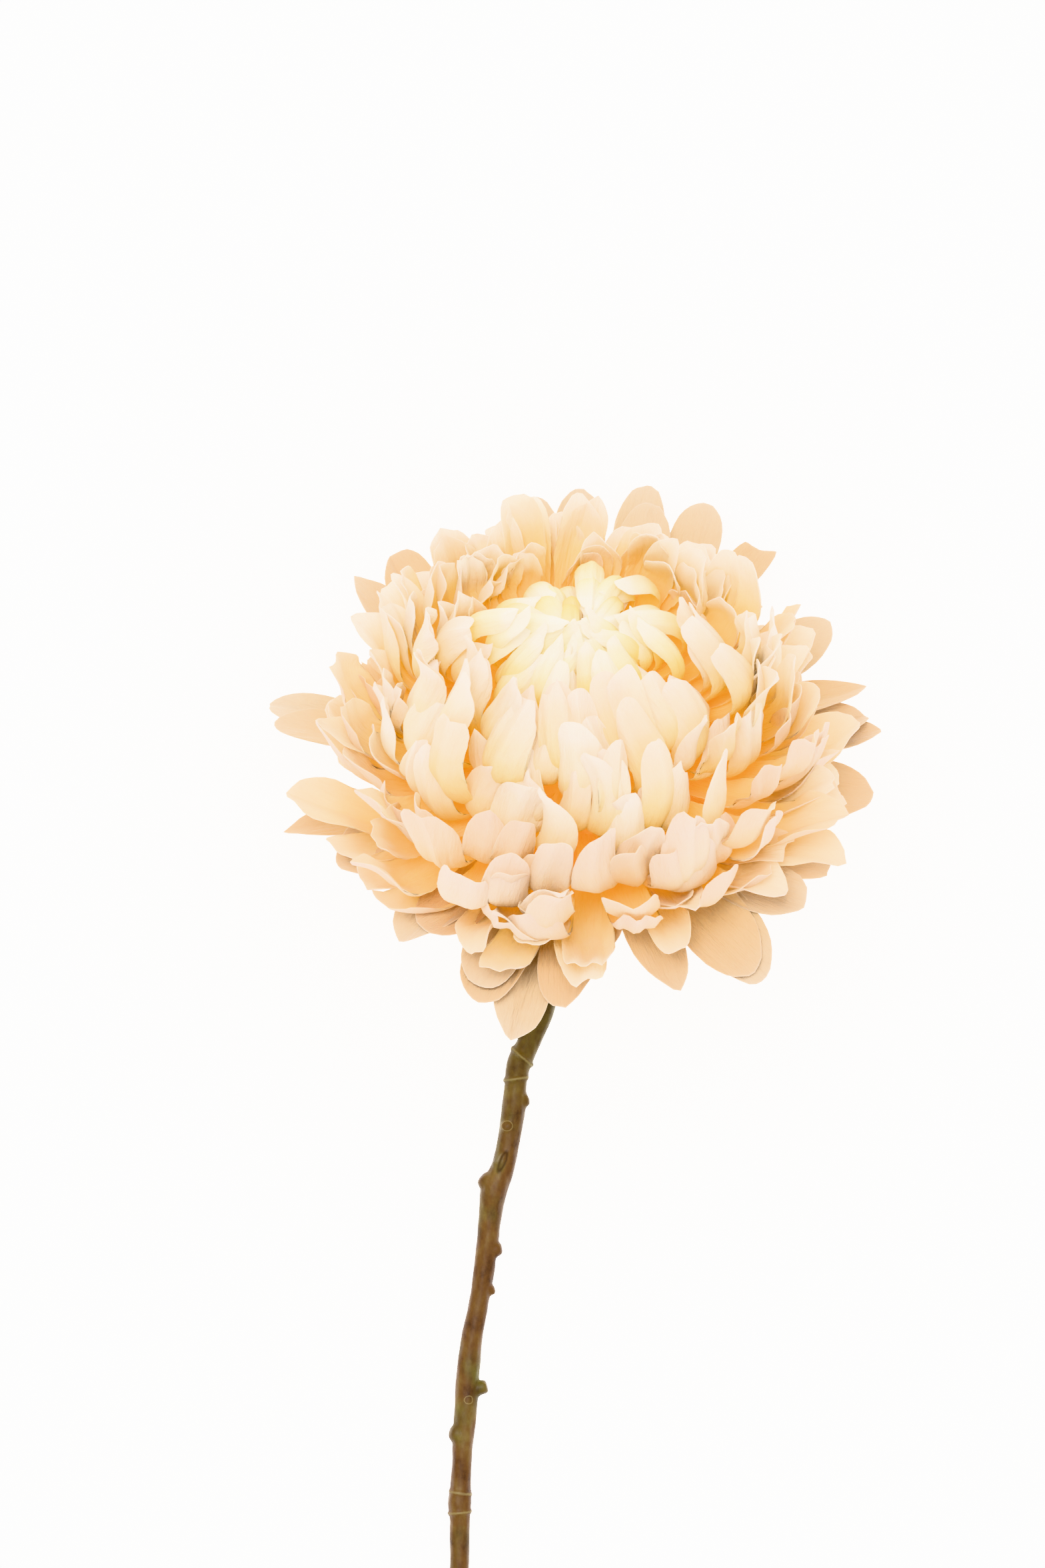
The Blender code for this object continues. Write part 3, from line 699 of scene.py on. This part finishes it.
# The cloth: its thickness in the middle and at the cut edge, and how wide the band is where it thins
CLOTH = 0.34 * MM
CUT_EDGE = 0.16 * MM
EDGE_BAND = 0.8 * MM
# The grid that a petal is drawn with: cells across and up, where it starts on the petal's length, and how
# much its rows crowd toward the tip. A bend sharper than this many degrees shows as a corner.
PETAL_COLUMNS = 16
PETAL_CELLS = 24
OUTLINE_CELLS = 26
PETAL_START = 0.1
TIP_CROWDING = 1.35
CLOTH_CORNER = 55
# A horn at the tip and a fold down the middle, in parts of the half width, and the pleats near the edges
HORN_WIDTH = 0.26
HORN_SHARPNESS = 1.3
HORN_DROP = 0.4
FOLD_WIDTH = 0.22
PLEAT_SPACING = 5.655 * MM
PLEAT_HEIGHT = 0.09 * MM

# The dye: the size of its clouds in mm, and how far they and the most dyed petals shift it, in parts of a
# petal's length. Light that has passed through the cloth is this much paler, and its depths get a painted
# glow.
DYE_CLOUD = 4.55
DYE_WANDER = 0.16
DYE_HELD = 0.14
LIT_PALER = 0.15
PAINTED_DEPTH_GLOW = 0.12
# Threads and soft creases as they are drawn, in mm, and how much the creases are drawn out
THREAD_SPACING = 0.4427
CREASE_WIDTH = 1.111
CREASE_STRETCH = 0.16


def all_petals():
    """Every petal of the bloom as its own sizes, from the back row to the heart, as in the solids."""
    draw = random.Random(SEED)
    petals = []
    for azimuth, polar, length, width, opening, curl, point in OUTLINE_PETALS:
        petals.append(
            dict(
                node="outline",
                polar=math.radians(polar),
                azimuth=math.radians(azimuth),
                length=length * MM,
                width=width * MM,
                start=math.radians(opening),
                curl=math.radians(curl),
                bend=OUTLINE_BEND,
                cup=math.radians(OUTLINE_CUP),
                point=point,
                twist=math.radians(draw.uniform(-OUTLINE_TWIST, OUTLINE_TWIST)),
                sway=0.0,
                clear=FOOT_CLEARANCE if azimuth in FEET else PRESS_CLEARANCE,
            )
        )
    for node, polar, count, length, width, opening, curl, bend, cup, point in PETAL_ROWS:
        turn = draw.uniform(0, 360)
        for index in range(count):
            azimuth = turn + 360 / count * (index + draw.uniform(-AZIMUTH_PLAY, AZIMUTH_PLAY))
            height = math.sin(math.radians(azimuth))
            crest = height * math.sin(math.radians(polar))
            cut, more_curl = 0.0, 0.0
            if node == "petals_outer":
                cut = CREST_CUT * max(0.0, height) ** 2
            if node == "petals_heart":
                cut = HEART_CUT * min(0.0, height) ** 2
                more_curl = HEART_CURL * max(0.0, height)
            tilt = draw.uniform(-POLAR_PLAY, POLAR_PLAY)
            longer = 1 - LENGTH_SWING * crest + draw.uniform(-LENGTH_PLAY, LENGTH_PLAY)
            wider = 1 + draw.uniform(-WIDTH_PLAY, WIDTH_PLAY)
            curlier = 1 - CURL_SWING * crest + draw.uniform(-CURL_PLAY, CURL_PLAY)
            petals.append(
                dict(
                    node=node,
                    polar=math.radians(polar + tilt),
                    azimuth=math.radians(azimuth),
                    length=length * MM * longer * (1 - cut),
                    width=width * MM * wider,
                    start=math.radians(polar + opening),
                    curl=math.radians(curl) * curlier * (1 + more_curl),
                    bend=bend,
                    cup=math.radians(cup),
                    point=point,
                    twist=math.radians(draw.uniform(-TWIST_PLAY, TWIST_PLAY)),
                    sway=math.radians(draw.uniform(-SWAY_PLAY, SWAY_PLAY)),
                    clear=PRESS_CLEARANCE,
                )
            )
    return petals


def core_radius(polar):
    """The core's radius at an angle from its axis: an egg with a blunt back."""
    along = CORE_FRONT if math.cos(polar) > 0 else CORE_BACK
    return 1 / math.hypot(math.sin(polar) / CORE_WAIST, math.cos(polar) / along)


def pressed(heading, place, clear):
    """A petal's heading, turned along the table as it comes down to it."""
    steepest = -(place[2] - clear) / PRESS_HEIGHT
    if heading[2] >= steepest:
        return heading
    flat = heading.copy()
    flat[2] = 0
    rise = max(-1.0, min(PRESS_CLIMB, steepest))
    return unit(unit(flat) * math.sqrt(1 - rise * rise) + np.array((0, 0, rise)))


def bend_share(petal, part):
    """How much of a petal's curl is behind a place on its length: none at the root, all at the tip."""
    done = min(1.0, max(0.0, (part - petal["bend"]) / BEND_SPAN + 0.5))
    return done * done * (3 - 2 * done)


def petal_spine(petal):
    """Points down the middle of a petal, with its inward and across directions at each."""
    out, round_axis = radial(petal["azimuth"])
    root = AXIS * math.cos(petal["polar"]) + out * math.sin(petal["polar"])
    start = AXIS * math.cos(petal["start"]) + out * math.sin(petal["start"])
    place = BLOOM_CENTRE + core_radius(petal["polar"]) * root - ROOT_DEPTH * start
    step = petal["length"] * LONGEST / SPINE_STEPS
    points, inwards, acrosses = [], [], []
    for index in range(SPINE_STEPS + 1):
        part = LONGEST * index / SPINE_STEPS
        angle = petal["start"] - petal["curl"] * bend_share(petal, part)
        lean = petal["sway"] * part
        heading = AXIS * math.cos(angle) + out * math.sin(angle) + round_axis * math.sin(lean)
        heading = pressed(unit(heading), place, petal["clear"])
        across = unit(round_axis - heading * float(round_axis @ heading))
        inward = np.cross(heading, across)
        twist = petal["twist"] * part
        points.append(place)
        acrosses.append(across * math.cos(twist) + inward * math.sin(twist))
        inwards.append(inward * math.cos(twist) - across * math.sin(twist))
        place = place + heading * step
    return np.array(points), np.array(inwards), np.array(acrosses)


def at_parts(values, parts):
    """Vectors down a spine, read at parts of its length."""
    stations = np.linspace(0, LONGEST, len(values))
    return np.stack([np.interp(parts, stations, values[:, axis]) for axis in range(3)], -1)


def petal_habit(chance, petal):
    """What heat, handling and cutting did to one petal. Those above the heart stay plain scoops."""
    wild = {"outline": 0.35, "petals_heart": 0.4}.get(petal["node"], 1.0)
    calm = 1 - 0.75 * max(0.0, math.sin(petal["azimuth"]))
    return dict(
        # A wave along each edge: height, waves along the petal, and where each starts
        wave=chance.uniform(0.3, 1.5) * MM * wild * calm,
        waves=chance.uniform(1.4, 3.4),
        starts=chance.uniform(0, 2 * math.pi, 2),
        # Soft folds down its length: height, folds across, and where they start
        ripple=chance.uniform(0.15, 0.7) * MM * wild,
        ripples=chance.uniform(1.2, 3.2),
        shifted=chance.uniform(0, 2 * math.pi),
        # How much deeper the cup gets at the tip, how unlike its two sides are, and a fold along the middle
        pinch=chance.uniform(-0.35, 0.45) + 0.4 * petal["point"],
        skew=chance.uniform(-0.4, 0.4) * wild,
        fold=chance.uniform(-0.3, 1.2) * MM,
        # Edges that roll outward near the tip, left and right
        flare=np.clip(chance.uniform(-2.0, 2.6, 2), 0, None) * MM * wild * calm,
        # The tip: how far it turns in or out and to one side, its horn, and where the cut takes it off
        hook=(1.0 - 7.5 * chance.uniform() ** 1.4) * MM * wild * calm,
        swing=chance.uniform(-3.5, 3.5) * MM * wild,
        horn=max(0.0, chance.uniform(-1.8, 4.4)) * MM * wild * calm,
        horn_side=chance.uniform(-0.6, 0.6),
        cut=1.0 if chance.uniform() < 0.8 else chance.uniform(0.9, 0.97),
        slant=chance.uniform(-0.06, 0.06),
        # The cut edge: its slow unevenness and its fraying
        scallop=0.9 * MM * wild * calm,
        fray=chance.uniform(0.15, 0.5) * MM,
        tint=chance.uniform(0, 1),
        crumple=chance.uniform(0.0, 1.0),
    )


def tip_outline(petal, side):
    """How far up its length each column of a petal reaches, as in the solids' outline."""
    fullness = TIP_FULLNESS + POINTED_FULLNESS * petal["point"]
    closing = TIP_CLOSING + POINTED_CLOSING * petal["point"]
    cap = np.clip(1 - np.abs(side) ** (1 / closing), 0, 1) ** (1 / fullness)
    return WIDEST + (1 - WIDEST) * cap


def smooth_steps(chance, count, span):
    """Random steps with a given span between their turning points, from -1 to 1."""
    knots = chance.uniform(-1, 1, max(2, int(count / span) + 2))
    return np.interp(np.linspace(0, len(knots) - 1, count), np.arange(len(knots)), knots)


def rising(part, start, end):
    """0 up to one part of a petal's length, 1 from another on, and an even rise between."""
    return np.clip((part - start) / (end - start), 0, 1)


def horn_shape(habit, side):
    return np.exp(-np.abs((side - habit["horn_side"]) / HORN_WIDTH) ** HORN_SHARPNESS) - HORN_DROP


def cut_reach(petal, habit, side, chance):
    """How far up its length each column of a petal is cut off, with its horn, scallops and fraying."""
    reach = np.minimum(tip_outline(petal, side), habit["cut"]) * (1 + habit["slant"] * side)
    reach = reach + habit["horn"] * horn_shape(habit, side) / petal["length"]
    ragged = smooth_steps(chance, len(side), 2.5) * 0.8 + chance.uniform(-1, 1, len(side)) * 0.6
    scallop = smooth_steps(chance, len(side), 5) * habit["scallop"]
    return reach + (ragged * habit["fray"] + scallop) / petal["length"]


def cut_width(petal, habit, part, side, chance):
    """Half a petal's width at each corner, with its unevenly cut edges."""
    rise = np.sin(np.clip(part / WIDEST, 0, 1) * math.pi / 2)
    half = petal["width"] / 2 * (ROOT_WIDTH + (1 - ROOT_WIDTH) * rise)
    trim = smooth_steps(chance, len(part), 3)[:, None] * 0.6
    trim = trim + chance.uniform(-0.5, 0.5, (len(part), 1)) * 0.5
    return half + trim * habit["fray"] * side**4


def pressed_form(petal, habit, part, side, half):
    """How far each corner lies across from a petal's middle line, and inward from it."""
    near_tip = rising(part, 0.6, 1.0) ** 2
    cup = petal["cup"] + (math.radians(ROOT_CUP) - petal["cup"]) * (1 - part) ** 2
    cup = cup * (1 + habit["pinch"] * near_tip) * (1 + habit["skew"] * side * near_tip)
    across_by = np.sin(cup * side) * half / cup + habit["swing"] * rising(part, 0.62, 1.0) ** 2
    inward_by = (1 - np.cos(cup * side)) * half / cup
    # The wave of the edges, the fold down the middle, and the soft folds beside it
    edge = np.abs(side) ** 3
    right = side > 0
    phase = np.where(right, *habit["starts"])
    inward_by += habit["wave"] * edge * np.sin(part * habit["waves"] * 2 * math.pi + phase) * part
    inward_by -= habit["fold"] * np.exp(-((side / FOLD_WIDTH) ** 2)) * rising(part, 0.3125, 0.9375)
    ripple = np.cos(side * habit["ripples"] * math.pi + habit["shifted"])
    inward_by += habit["ripple"] * ripple * rising(part, 0.2, 0.8667)
    # The hook and horn of the tip, and the edges that roll outward
    inward_by += habit["hook"] * rising(part, 0.72, 1.0) ** 2
    inward_by -= habit["horn"] / 2 * horn_shape(habit, side) * rising(part, 0.8, 1.0) ** 2
    inward_by -= np.where(right, *habit["flare"]) * edge * rising(part, 0.4, 0.85)
    # Creases across the cloth that the hot tool leaves near the edges
    crease = np.sin(part * petal["length"] / PLEAT_SPACING * 2 * math.pi + 5 * side + habit["starts"][0])
    inward_by += PLEAT_HEIGHT * habit["crumple"] * crease * np.clip(side**2 * 1.5, 0, 1)
    return across_by, inward_by


def petal_cloth(petal, chance, rows, inset=0.0):
    """One petal as a closed shell of thin cloth, with what its colour needs at each corner."""
    habit = petal_habit(chance, petal)
    side = np.sin(np.linspace(-1, 1, PETAL_COLUMNS + 1) * math.pi / 2)
    reach = cut_reach(petal, habit, side, chance)
    down = PETAL_START + (1 - PETAL_START) * (1 - (1 - np.linspace(0, 1, rows + 1)) ** TIP_CROWDING)
    part = np.clip(down[:, None] * reach[None, :], 0, LONGEST)
    side = np.broadcast_to(side, part.shape)
    half = cut_width(petal, habit, part, side, chance)
    across_by, inward_by = pressed_form(petal, habit, part, side, half)

    points, inwards, acrosses = petal_spine(petal)
    inward = at_parts(inwards, part)
    place = at_parts(points, part) + at_parts(acrosses, part) * across_by[..., None]
    place = bent(place + inward * (inward_by + inset)[..., None])
    place[..., 2] = np.maximum(place[..., 2], petal["clear"])

    normal = np.cross(np.gradient(place, axis=1), np.gradient(place, axis=0))
    normal = normal / np.maximum(np.linalg.norm(normal, axis=-1, keepdims=True), 1e-12)
    normal = normal * np.sign((normal * inward).sum(-1, keepdims=True).mean())
    margin = np.minimum((1 - np.abs(side)) * half, (reach[None, :] - part) * petal["length"])
    margin = np.clip(margin / EDGE_BAND, 0, 1)
    thick = (CUT_EDGE + (CLOTH - CUT_EDGE) * margin)[..., None] / 2
    corners, faces = grid_shell(place + normal * thick, place - normal * thick)
    looks = dict(
        along=np.tile(part.reshape(-1), 2),
        across=np.tile((across_by / MM).reshape(-1), 2),
        down=np.tile((part * petal["length"] / MM).reshape(-1), 2),
        front=np.repeat((1.0, 0.0), part.size),
        margin=np.tile(margin.reshape(-1), 2),
        tint=np.full(2 * part.size, habit["tint"]),
    )
    return corners, faces, looks


# A slow bend of the whole bloom's cloth, so that petals side by side give way together: directions,
# lengths in mm and heights in mm of four long waves
BENDS = (
    ((0.8, 0.5, 0.3), (0.1, 0.6, -0.8), 47, 1.2),
    ((-0.4, 0.8, 0.4), (0.9, 0.2, 0.4), 36, 0.9),
    ((0.3, -0.4, 0.9), (-0.3, 0.9, 0.2), 29, 0.7),
    ((0.9, -0.3, -0.5), (0.2, 0.3, 0.9), 21, 0.5),
)


def bent(place):
    moved = place.copy()
    for across, push, length, height in BENDS:
        wave = np.sin(place @ unit(np.array(across)) / (length * MM) * 2 * math.pi)
        moved = moved + wave[..., None] * unit(np.array(push)) * height * MM
    return moved


def core_slice(low, high):
    """A turned slice of the core, as a closed shell."""
    rings = []
    for index in range(CORE_RINGS + 1):
        height = low + (high - low) * index / CORE_RINGS
        along = CORE_FRONT if height > 0 else CORE_BACK
        radius = CORE_WAIST * math.sqrt(max(1e-4, 1 - (height / along) ** 2))
        rings.append(circle(BLOOM_CENTRE + AXIS * height, radius, SIDE, CREST, CORE_SIDES))
    corners, faces = tube(rings)
    return np.array(corners), faces


def cloth_piece(name, shells, surface, core=None):
    """One piece of many petals, with the numbers that its material reads."""
    corners, faces, looks = [], [], {}
    count = 0
    for petal_corners, petal_faces, petal_looks in shells:
        faces += (petal_faces + count).tolist()
        corners.append(petal_corners)
        count += len(petal_corners)
        for key, values in petal_looks.items():
            looks.setdefault(key, []).append(values)
    if core:
        core_corners, core_faces = core
        faces += [tuple(index + count for index in face) for face in core_faces]
        corners.append(core_corners)
        for values in looks.values():
            values.append(np.zeros(len(core_corners)))
    mesh = bpy.data.meshes.new(name)
    mesh.from_pydata(np.concatenate(corners).tolist(), [], faces)
    for key, values in looks.items():
        attribute = mesh.attributes.new(key, "FLOAT", "POINT")
        attribute.data.foreach_set("value", np.concatenate(values).astype(np.float32))
    mesh.shade_smooth()
    mesh.set_sharp_from_angle(angle=math.radians(CLOTH_CORNER))
    return new_piece(name, mesh, surface)


def satin(name, dye, backing, gloss, see_through, soaked):
    """Thin polyester satin: soft sheen, light through it, and threads finer than the eye resolves, so
    they are drawn coarser. The dye is deepest at the root and the back of the cloth stays pale."""
    surface = new_material(name)
    reads = {
        key: add_node(surface, "Attribute", {"attribute_name": key}).outputs["Fac"]
        for key in ("along", "across", "down", "front", "margin", "tint")
    }
    cloth_place = add_node(
        surface, "CombineXYZ", links={"X": reads["across"], "Y": reads["down"], "Z": reads["tint"]}
    )
    # The airbrushed dye wanders a little, and each petal holds more or less of it
    wander = add_node(
        surface,
        "TexNoise",
        {"Scale": 1 / DYE_CLOUD, "Detail": 3.0, "Roughness": 0.55},
        {"Vector": cloth_place},
    )
    shift = add_node(
        surface, "Math", {"operation": "MULTIPLY_ADD", 1: DYE_WANDER, 2: -DYE_WANDER / 2}, {0: wander}
    )
    held = add_node(
        surface, "Math", {"operation": "MULTIPLY_ADD", 1: -DYE_HELD}, {0: reads["tint"], 2: shift}
    )
    place = add_node(surface, "Math", {"operation": "ADD"}, {0: reads["along"], 1: held})
    dyed = add_node(surface, "ValToRGB", {"stops": dye}, {"Fac": place})
    plain = add_node(surface, "ValToRGB", {"stops": backing}, {"Fac": place})
    face = add_node(surface, "Mix", {"data_type": "RGBA"}, {MIX: reads["front"], LOW: plain, HIGH: dyed})
    # Some petals have soaked up more of the dye than others
    more = add_node(surface, "Math", {"operation": "MULTIPLY", 1: soaked}, {0: reads["tint"]})
    face = add_node(surface, "Mix", {"data_type": "RGBA", HIGH: linear("#dc9f5c")}, {MIX: more, LOW: face})
    # The cut edge is lighter: loose threads stand out of it, and a painted highlight lies along it where it
    # catches the light
    rim = add_node(
        surface, "ValToRGB", {"stops": ((0.0, "#808080"), (0.55, "#000000"))}, {"Fac": reads["margin"]}
    )
    colour = add_node(surface, "Mix", {"data_type": "RGBA", HIGH: linear("#fff4e6")}, {MIX: rim, LOW: face})

    crease_place = add_node(
        surface, "Mapping", {"Scale": (1.0, CREASE_STRETCH, 1.0)}, {"Vector": cloth_place}
    )
    creases = add_node(
        surface,
        "TexNoise",
        {"Scale": 1 / CREASE_WIDTH, "Detail": 4.0, "Roughness": 0.6},
        {"Vector": crease_place},
    )
    # The wave texture's phase grows by 20 times its scale for each mm
    thread_scale = 2 * math.pi / 20 / THREAD_SPACING
    threads = add_node(
        surface,
        "TexWave",
        {"Scale": thread_scale, "Distortion": 0.6, "Detail": 1.0, "bands_direction": "X"},
        {"Vector": cloth_place},
    )
    soft = add_node(surface, "Bump", {"Strength": 0.8, "Distance": 1.1 * MM}, {"Height": creases})
    fine = add_node(
        surface,
        "Bump",
        {"Strength": 0.12, "Distance": 0.08 * MM},
        {"Height": threads.outputs["Fac"], "Normal": soft},
    )
    # A painted glow: emission in the dyed depths stands in for light that has passed through many layers,
    # more than the bounces carry
    painted_light = add_node(surface, "ValToRGB", {"stops": ((0.25, "#ffcc52"), (0.62, "#000000"))}, {"Fac": place})
    body = add_node(
        surface,
        "BsdfPrincipled",
        {
            "Roughness": gloss,
            "IOR": 1.45,
            "Specular IOR Level": 0.3,
            "Sheen Weight": 0.3,
            "Sheen Roughness": 0.35,
            "Emission Strength": PAINTED_DEPTH_GLOW,
        },
        {"Base Color": colour, "Normal": fine, "Emission Color": painted_light},
    )
    lit = add_node(
        surface, "Mix", {"data_type": "RGBA", MIX: LIT_PALER, HIGH: linear("#ffffff")}, {LOW: colour}
    )
    through = add_node(surface, "BsdfTranslucent", links={"Color": lit})
    cloth = add_node(surface, "MixShader", {0: see_through}, {1: body, 2: through})
    add_node(surface, "OutputMaterial", links={"Surface": cloth})
    return surface


petals = all_petals()
chance = np.random.default_rng(CLOTH_SEED)

# The outline's petals lie in the bloom's shade: their dull tan dye is partly the cloth's own and partly
# painted shade
outline_satin_painted_shade = satin(
    "outline_petal_satin_painted_shade",
    ((0.2, "#d2ae6a"), (0.5, "#cbb083"), (0.8, "#c9b292"), (1.0, "#ccbaa3")),
    ((0.2, "#caaa76"), (0.6, "#c5ab87"), (1.0, "#c6b39a")),
    0.62,
    0.1,
    0.2,
)
outer_satin = satin(
    "outer_petal_satin",
    ((0.15, "#ffe67c"), (0.42, "#ffefae"), (0.66, "#fff4d0"), (1.0, "#fff9e8")),
    ((0.2, "#ffe4a0"), (0.5, "#feebc4"), (0.7, "#f7e9d6"), (0.9, "#efe2d8")),
    0.6,
    0.4,
    0.1,
)
middle_satin = satin(
    "middle_petal_satin",
    ((0.15, "#ffe986"), (0.5, "#fff1b8"), (0.7, "#fff6dc"), (0.9, "#fffaf0")),
    ((0.2, "#ffeb94"), (0.5, "#fff2c2"), (0.7, "#fff6e2"), (0.9, "#fcf6f0")),
    0.58,
    0.42,
    0.08,
)
heart_satin = satin(
    "heart_petal_satin",
    ((0.15, "#ffea70"), (0.45, "#fff2a4"), (0.64, "#fff9da"), (0.82, "#fffdf4")),
    ((0.2, "#ffeb78"), (0.45, "#fff3ac"), (0.64, "#fffae0"), (0.82, "#fffcf6")),
    0.56,
    0.42,
    0.03,
)


def beside(petal, turn, tilt, stretch, slim):
    """A petal of the same layer: turned round the axis and tilted from it in degrees, and resized."""
    return dict(
        petal,
        azimuth=petal["azimuth"] + math.radians(turn),
        polar=petal["polar"] + math.radians(tilt),
        start=petal["start"] + math.radians(tilt),
        length=petal["length"] * stretch,
        width=petal["width"] * slim,
        cup=petal["cup"] / slim,
        twist=petal["twist"] + math.radians(chance.uniform(-10, 10)),
    )


def row_shells(node, rows, slim, doubled, between, twins_by=1.01, widening=0.0, twisted=1.0):
    """The petals of a node. Some are doubled by one that nests inside, and some have one beside them.

    Both shares are given for petals below the heart and for those above it, which may be wider. Doubles
    are longer or shorter by a factor.
    """
    shells, twins = [], []
    for petal in petals:
        if petal["node"] != node:
            continue
        height = math.sin(petal["azimuth"])
        above = int(height > 0)
        petal = dict(petal, twist=petal["twist"] * twisted)
        narrow = slim + widening * max(0.0, height)
        shells.append(petal_cloth(beside(petal, 0, 0, 1, narrow), chance, rows))
        if chance.uniform() < doubled[above]:
            length = twins_by * chance.uniform(0.93, 1.07)
            twin = beside(petal, chance.uniform(-6, 6), 0, length, narrow)
            twins.append(petal_cloth(twin, chance, rows, chance.uniform(1.0, 2.4) * MM))
        if chance.uniform() < between[above]:
            turn = chance.uniform(8, 14) * chance.choice((-1, 1))
            length = chance.uniform(0.86, 1.02)
            other = beside(petal, turn, chance.uniform(-3, 3), length, 0.92 * narrow)
            twins.append(petal_cloth(other, chance, rows, chance.uniform(1.5, 3.5) * MM))
    return shells, twins


outline_shells, outline_twins = row_shells(
    "outline", OUTLINE_CELLS, 1.0, (0.3, 0.25), (0, 0), twins_by=0.92
)
# One more hangs in front of the stem's top
over_stem = min(petals, key=lambda petal: abs(petal["azimuth"] + math.radians(85)))
hanging = beside(over_stem, -7, 0, 1.2, 1.1)
outline_twins.append(petal_cloth(hanging, chance, OUTLINE_CELLS, -1.5 * MM))
outer_shells, outer_twins = row_shells(
    "petals_outer", PETAL_CELLS, 0.96, (0.3, 0.6), (0.7, 0.4), widening=0.08
)
middle_shells, middle_twins = row_shells(
    "petals_middle", PETAL_CELLS, 0.94, (0.3, 0.6), (0.9, 0.7), widening=0.12
)
heart_shells, heart_twins = row_shells(
    "petals_heart", PETAL_CELLS, 0.86, (0.2, 0.2), (0.8, 0.8), twisted=0.4
)
outline_piece = cloth_piece("outline_petals", outline_shells + outline_twins, outline_satin_painted_shade)
outer_piece = cloth_piece(
    "outer_petals", outer_shells, outer_satin, core_slice(-CORE_BACK + CORE_GAP, OUTER_TOP)
)
outer_second = cloth_piece("outer_second_petals", outer_twins, outer_satin)
middle_piece = cloth_piece(
    "middle_petals", middle_shells, middle_satin, core_slice(OUTER_TOP + CORE_GAP, MIDDLE_TOP)
)
middle_second = cloth_piece("middle_second_petals", middle_twins, middle_satin)
heart_piece = cloth_piece(
    "heart_petals",
    heart_shells + heart_twins,
    heart_satin,
    core_slice(MIDDLE_TOP + CORE_GAP, CORE_FRONT - CORE_NOSE_CUT),
)
for piece, replaced, slot in (
    (outline_piece, "petals_outer", "outer_petal_cloth"),
    (outer_piece, "petals_outer", "outer_petal_cloth"),
    (outer_second, "petals_outer", "outer_petal_cloth"),
    (middle_piece, "petals_middle", "middle_petal_cloth"),
    (middle_second, "petals_middle", "middle_petal_cloth"),
    (heart_piece, "petals_heart", "heart_petal_cloth"),
):
    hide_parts(replaced)
    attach(piece, "root")

# The table, the light and the camera
# A lit white table top and soft light from all round and above, as in a light tent.

TABLE_REACH = 6.0
# Faint clouds in the acrylic
CLOUD_SIZE = 0.25
# What the photo's middle shows, the height where its scale is read, and what it spans there from end to end
PHOTO_CENTRE = (-0.0134, 0.0962)
PHOTO_PLANE = 0.057
PHOTO_HEIGHT = 0.381
CAMERA_DISTANCE = 2.2


def table_acrylic():
    """Opal acrylic lit from below: even, white, and its glow thins the shadows."""
    surface = new_material("table_opal_acrylic")
    place = add_node(surface, "TexCoord").outputs["Object"]
    clouds = add_node(surface, "TexNoise", {"Scale": 1 / CLOUD_SIZE, "Detail": 2.0}, {"Vector": place})
    colour = add_node(surface, "ValToRGB", {"stops": ((0.3, "#b2b2b1"), (0.7, "#b6b6b5"))}, {"Fac": clouds})
    top = add_node(
        surface,
        "BsdfPrincipled",
        {"Roughness": 0.75, "Emission Color": (1, 1, 1, 1), "Emission Strength": 2.4},
        {"Base Color": colour},
    )
    add_node(surface, "OutputMaterial", links={"Surface": top})
    return surface


table_corners = [(x * TABLE_REACH, y * TABLE_REACH, 0) for x, y in ((-1, -1), (1, -1), (1, 1), (-1, 1))]
table_mesh = bpy.data.meshes.new("table")
table_mesh.from_pydata(table_corners, [], [(0, 1, 2, 3)])
table = new_piece("table", table_mesh, table_acrylic())

world = bpy.data.worlds.new("light_tent")
scene.world = world
world.use_nodes = True
world.node_tree.nodes["Background"].inputs["Color"].default_value = (1.0, 1.0, 1.0, 1.0)
world.node_tree.nodes["Background"].inputs["Strength"].default_value = 1.0


def add_lamp(name, place, size, power):
    """A square soft box that faces the bloom."""
    lamp = bpy.data.lights.new(name, "AREA")
    lamp.size = size
    lamp.energy = power
    made = bpy.data.objects.new(name, lamp)
    made.location = place
    towards = Vector(BLOOM_CENTRE) - Vector(place)
    made.rotation_euler = towards.to_track_quat("-Z", "Y").to_euler()
    scene.collection.objects.link(made)


add_lamp("key_soft_box", (-0.25, 0.55, 2.1), 0.8, 40.0)
add_lamp("fill_soft_box", (0.7, -0.5, 1.5), 1.1, 4.0)
# Light that pale cloth throws from petal to petal many times over is most of the bloom's glow
scene.cycles.diffuse_bounces = 8
scene.cycles.max_bounces = 12

lens = bpy.data.cameras.new("camera")
lens.sensor_width = 36.0
lens.lens = lens.sensor_width * CAMERA_DISTANCE / PHOTO_HEIGHT
lens.clip_end = 20.0
camera = bpy.data.objects.new("camera", lens)
camera.location = (*PHOTO_CENTRE, PHOTO_PLANE + CAMERA_DISTANCE)
camera.rotation_euler = (0, 0, 0)
scene.collection.objects.link(camera)
scene.camera = camera
scene.view_settings.view_transform = "Khronos PBR Neutral"
scene.view_settings.exposure = 0.4
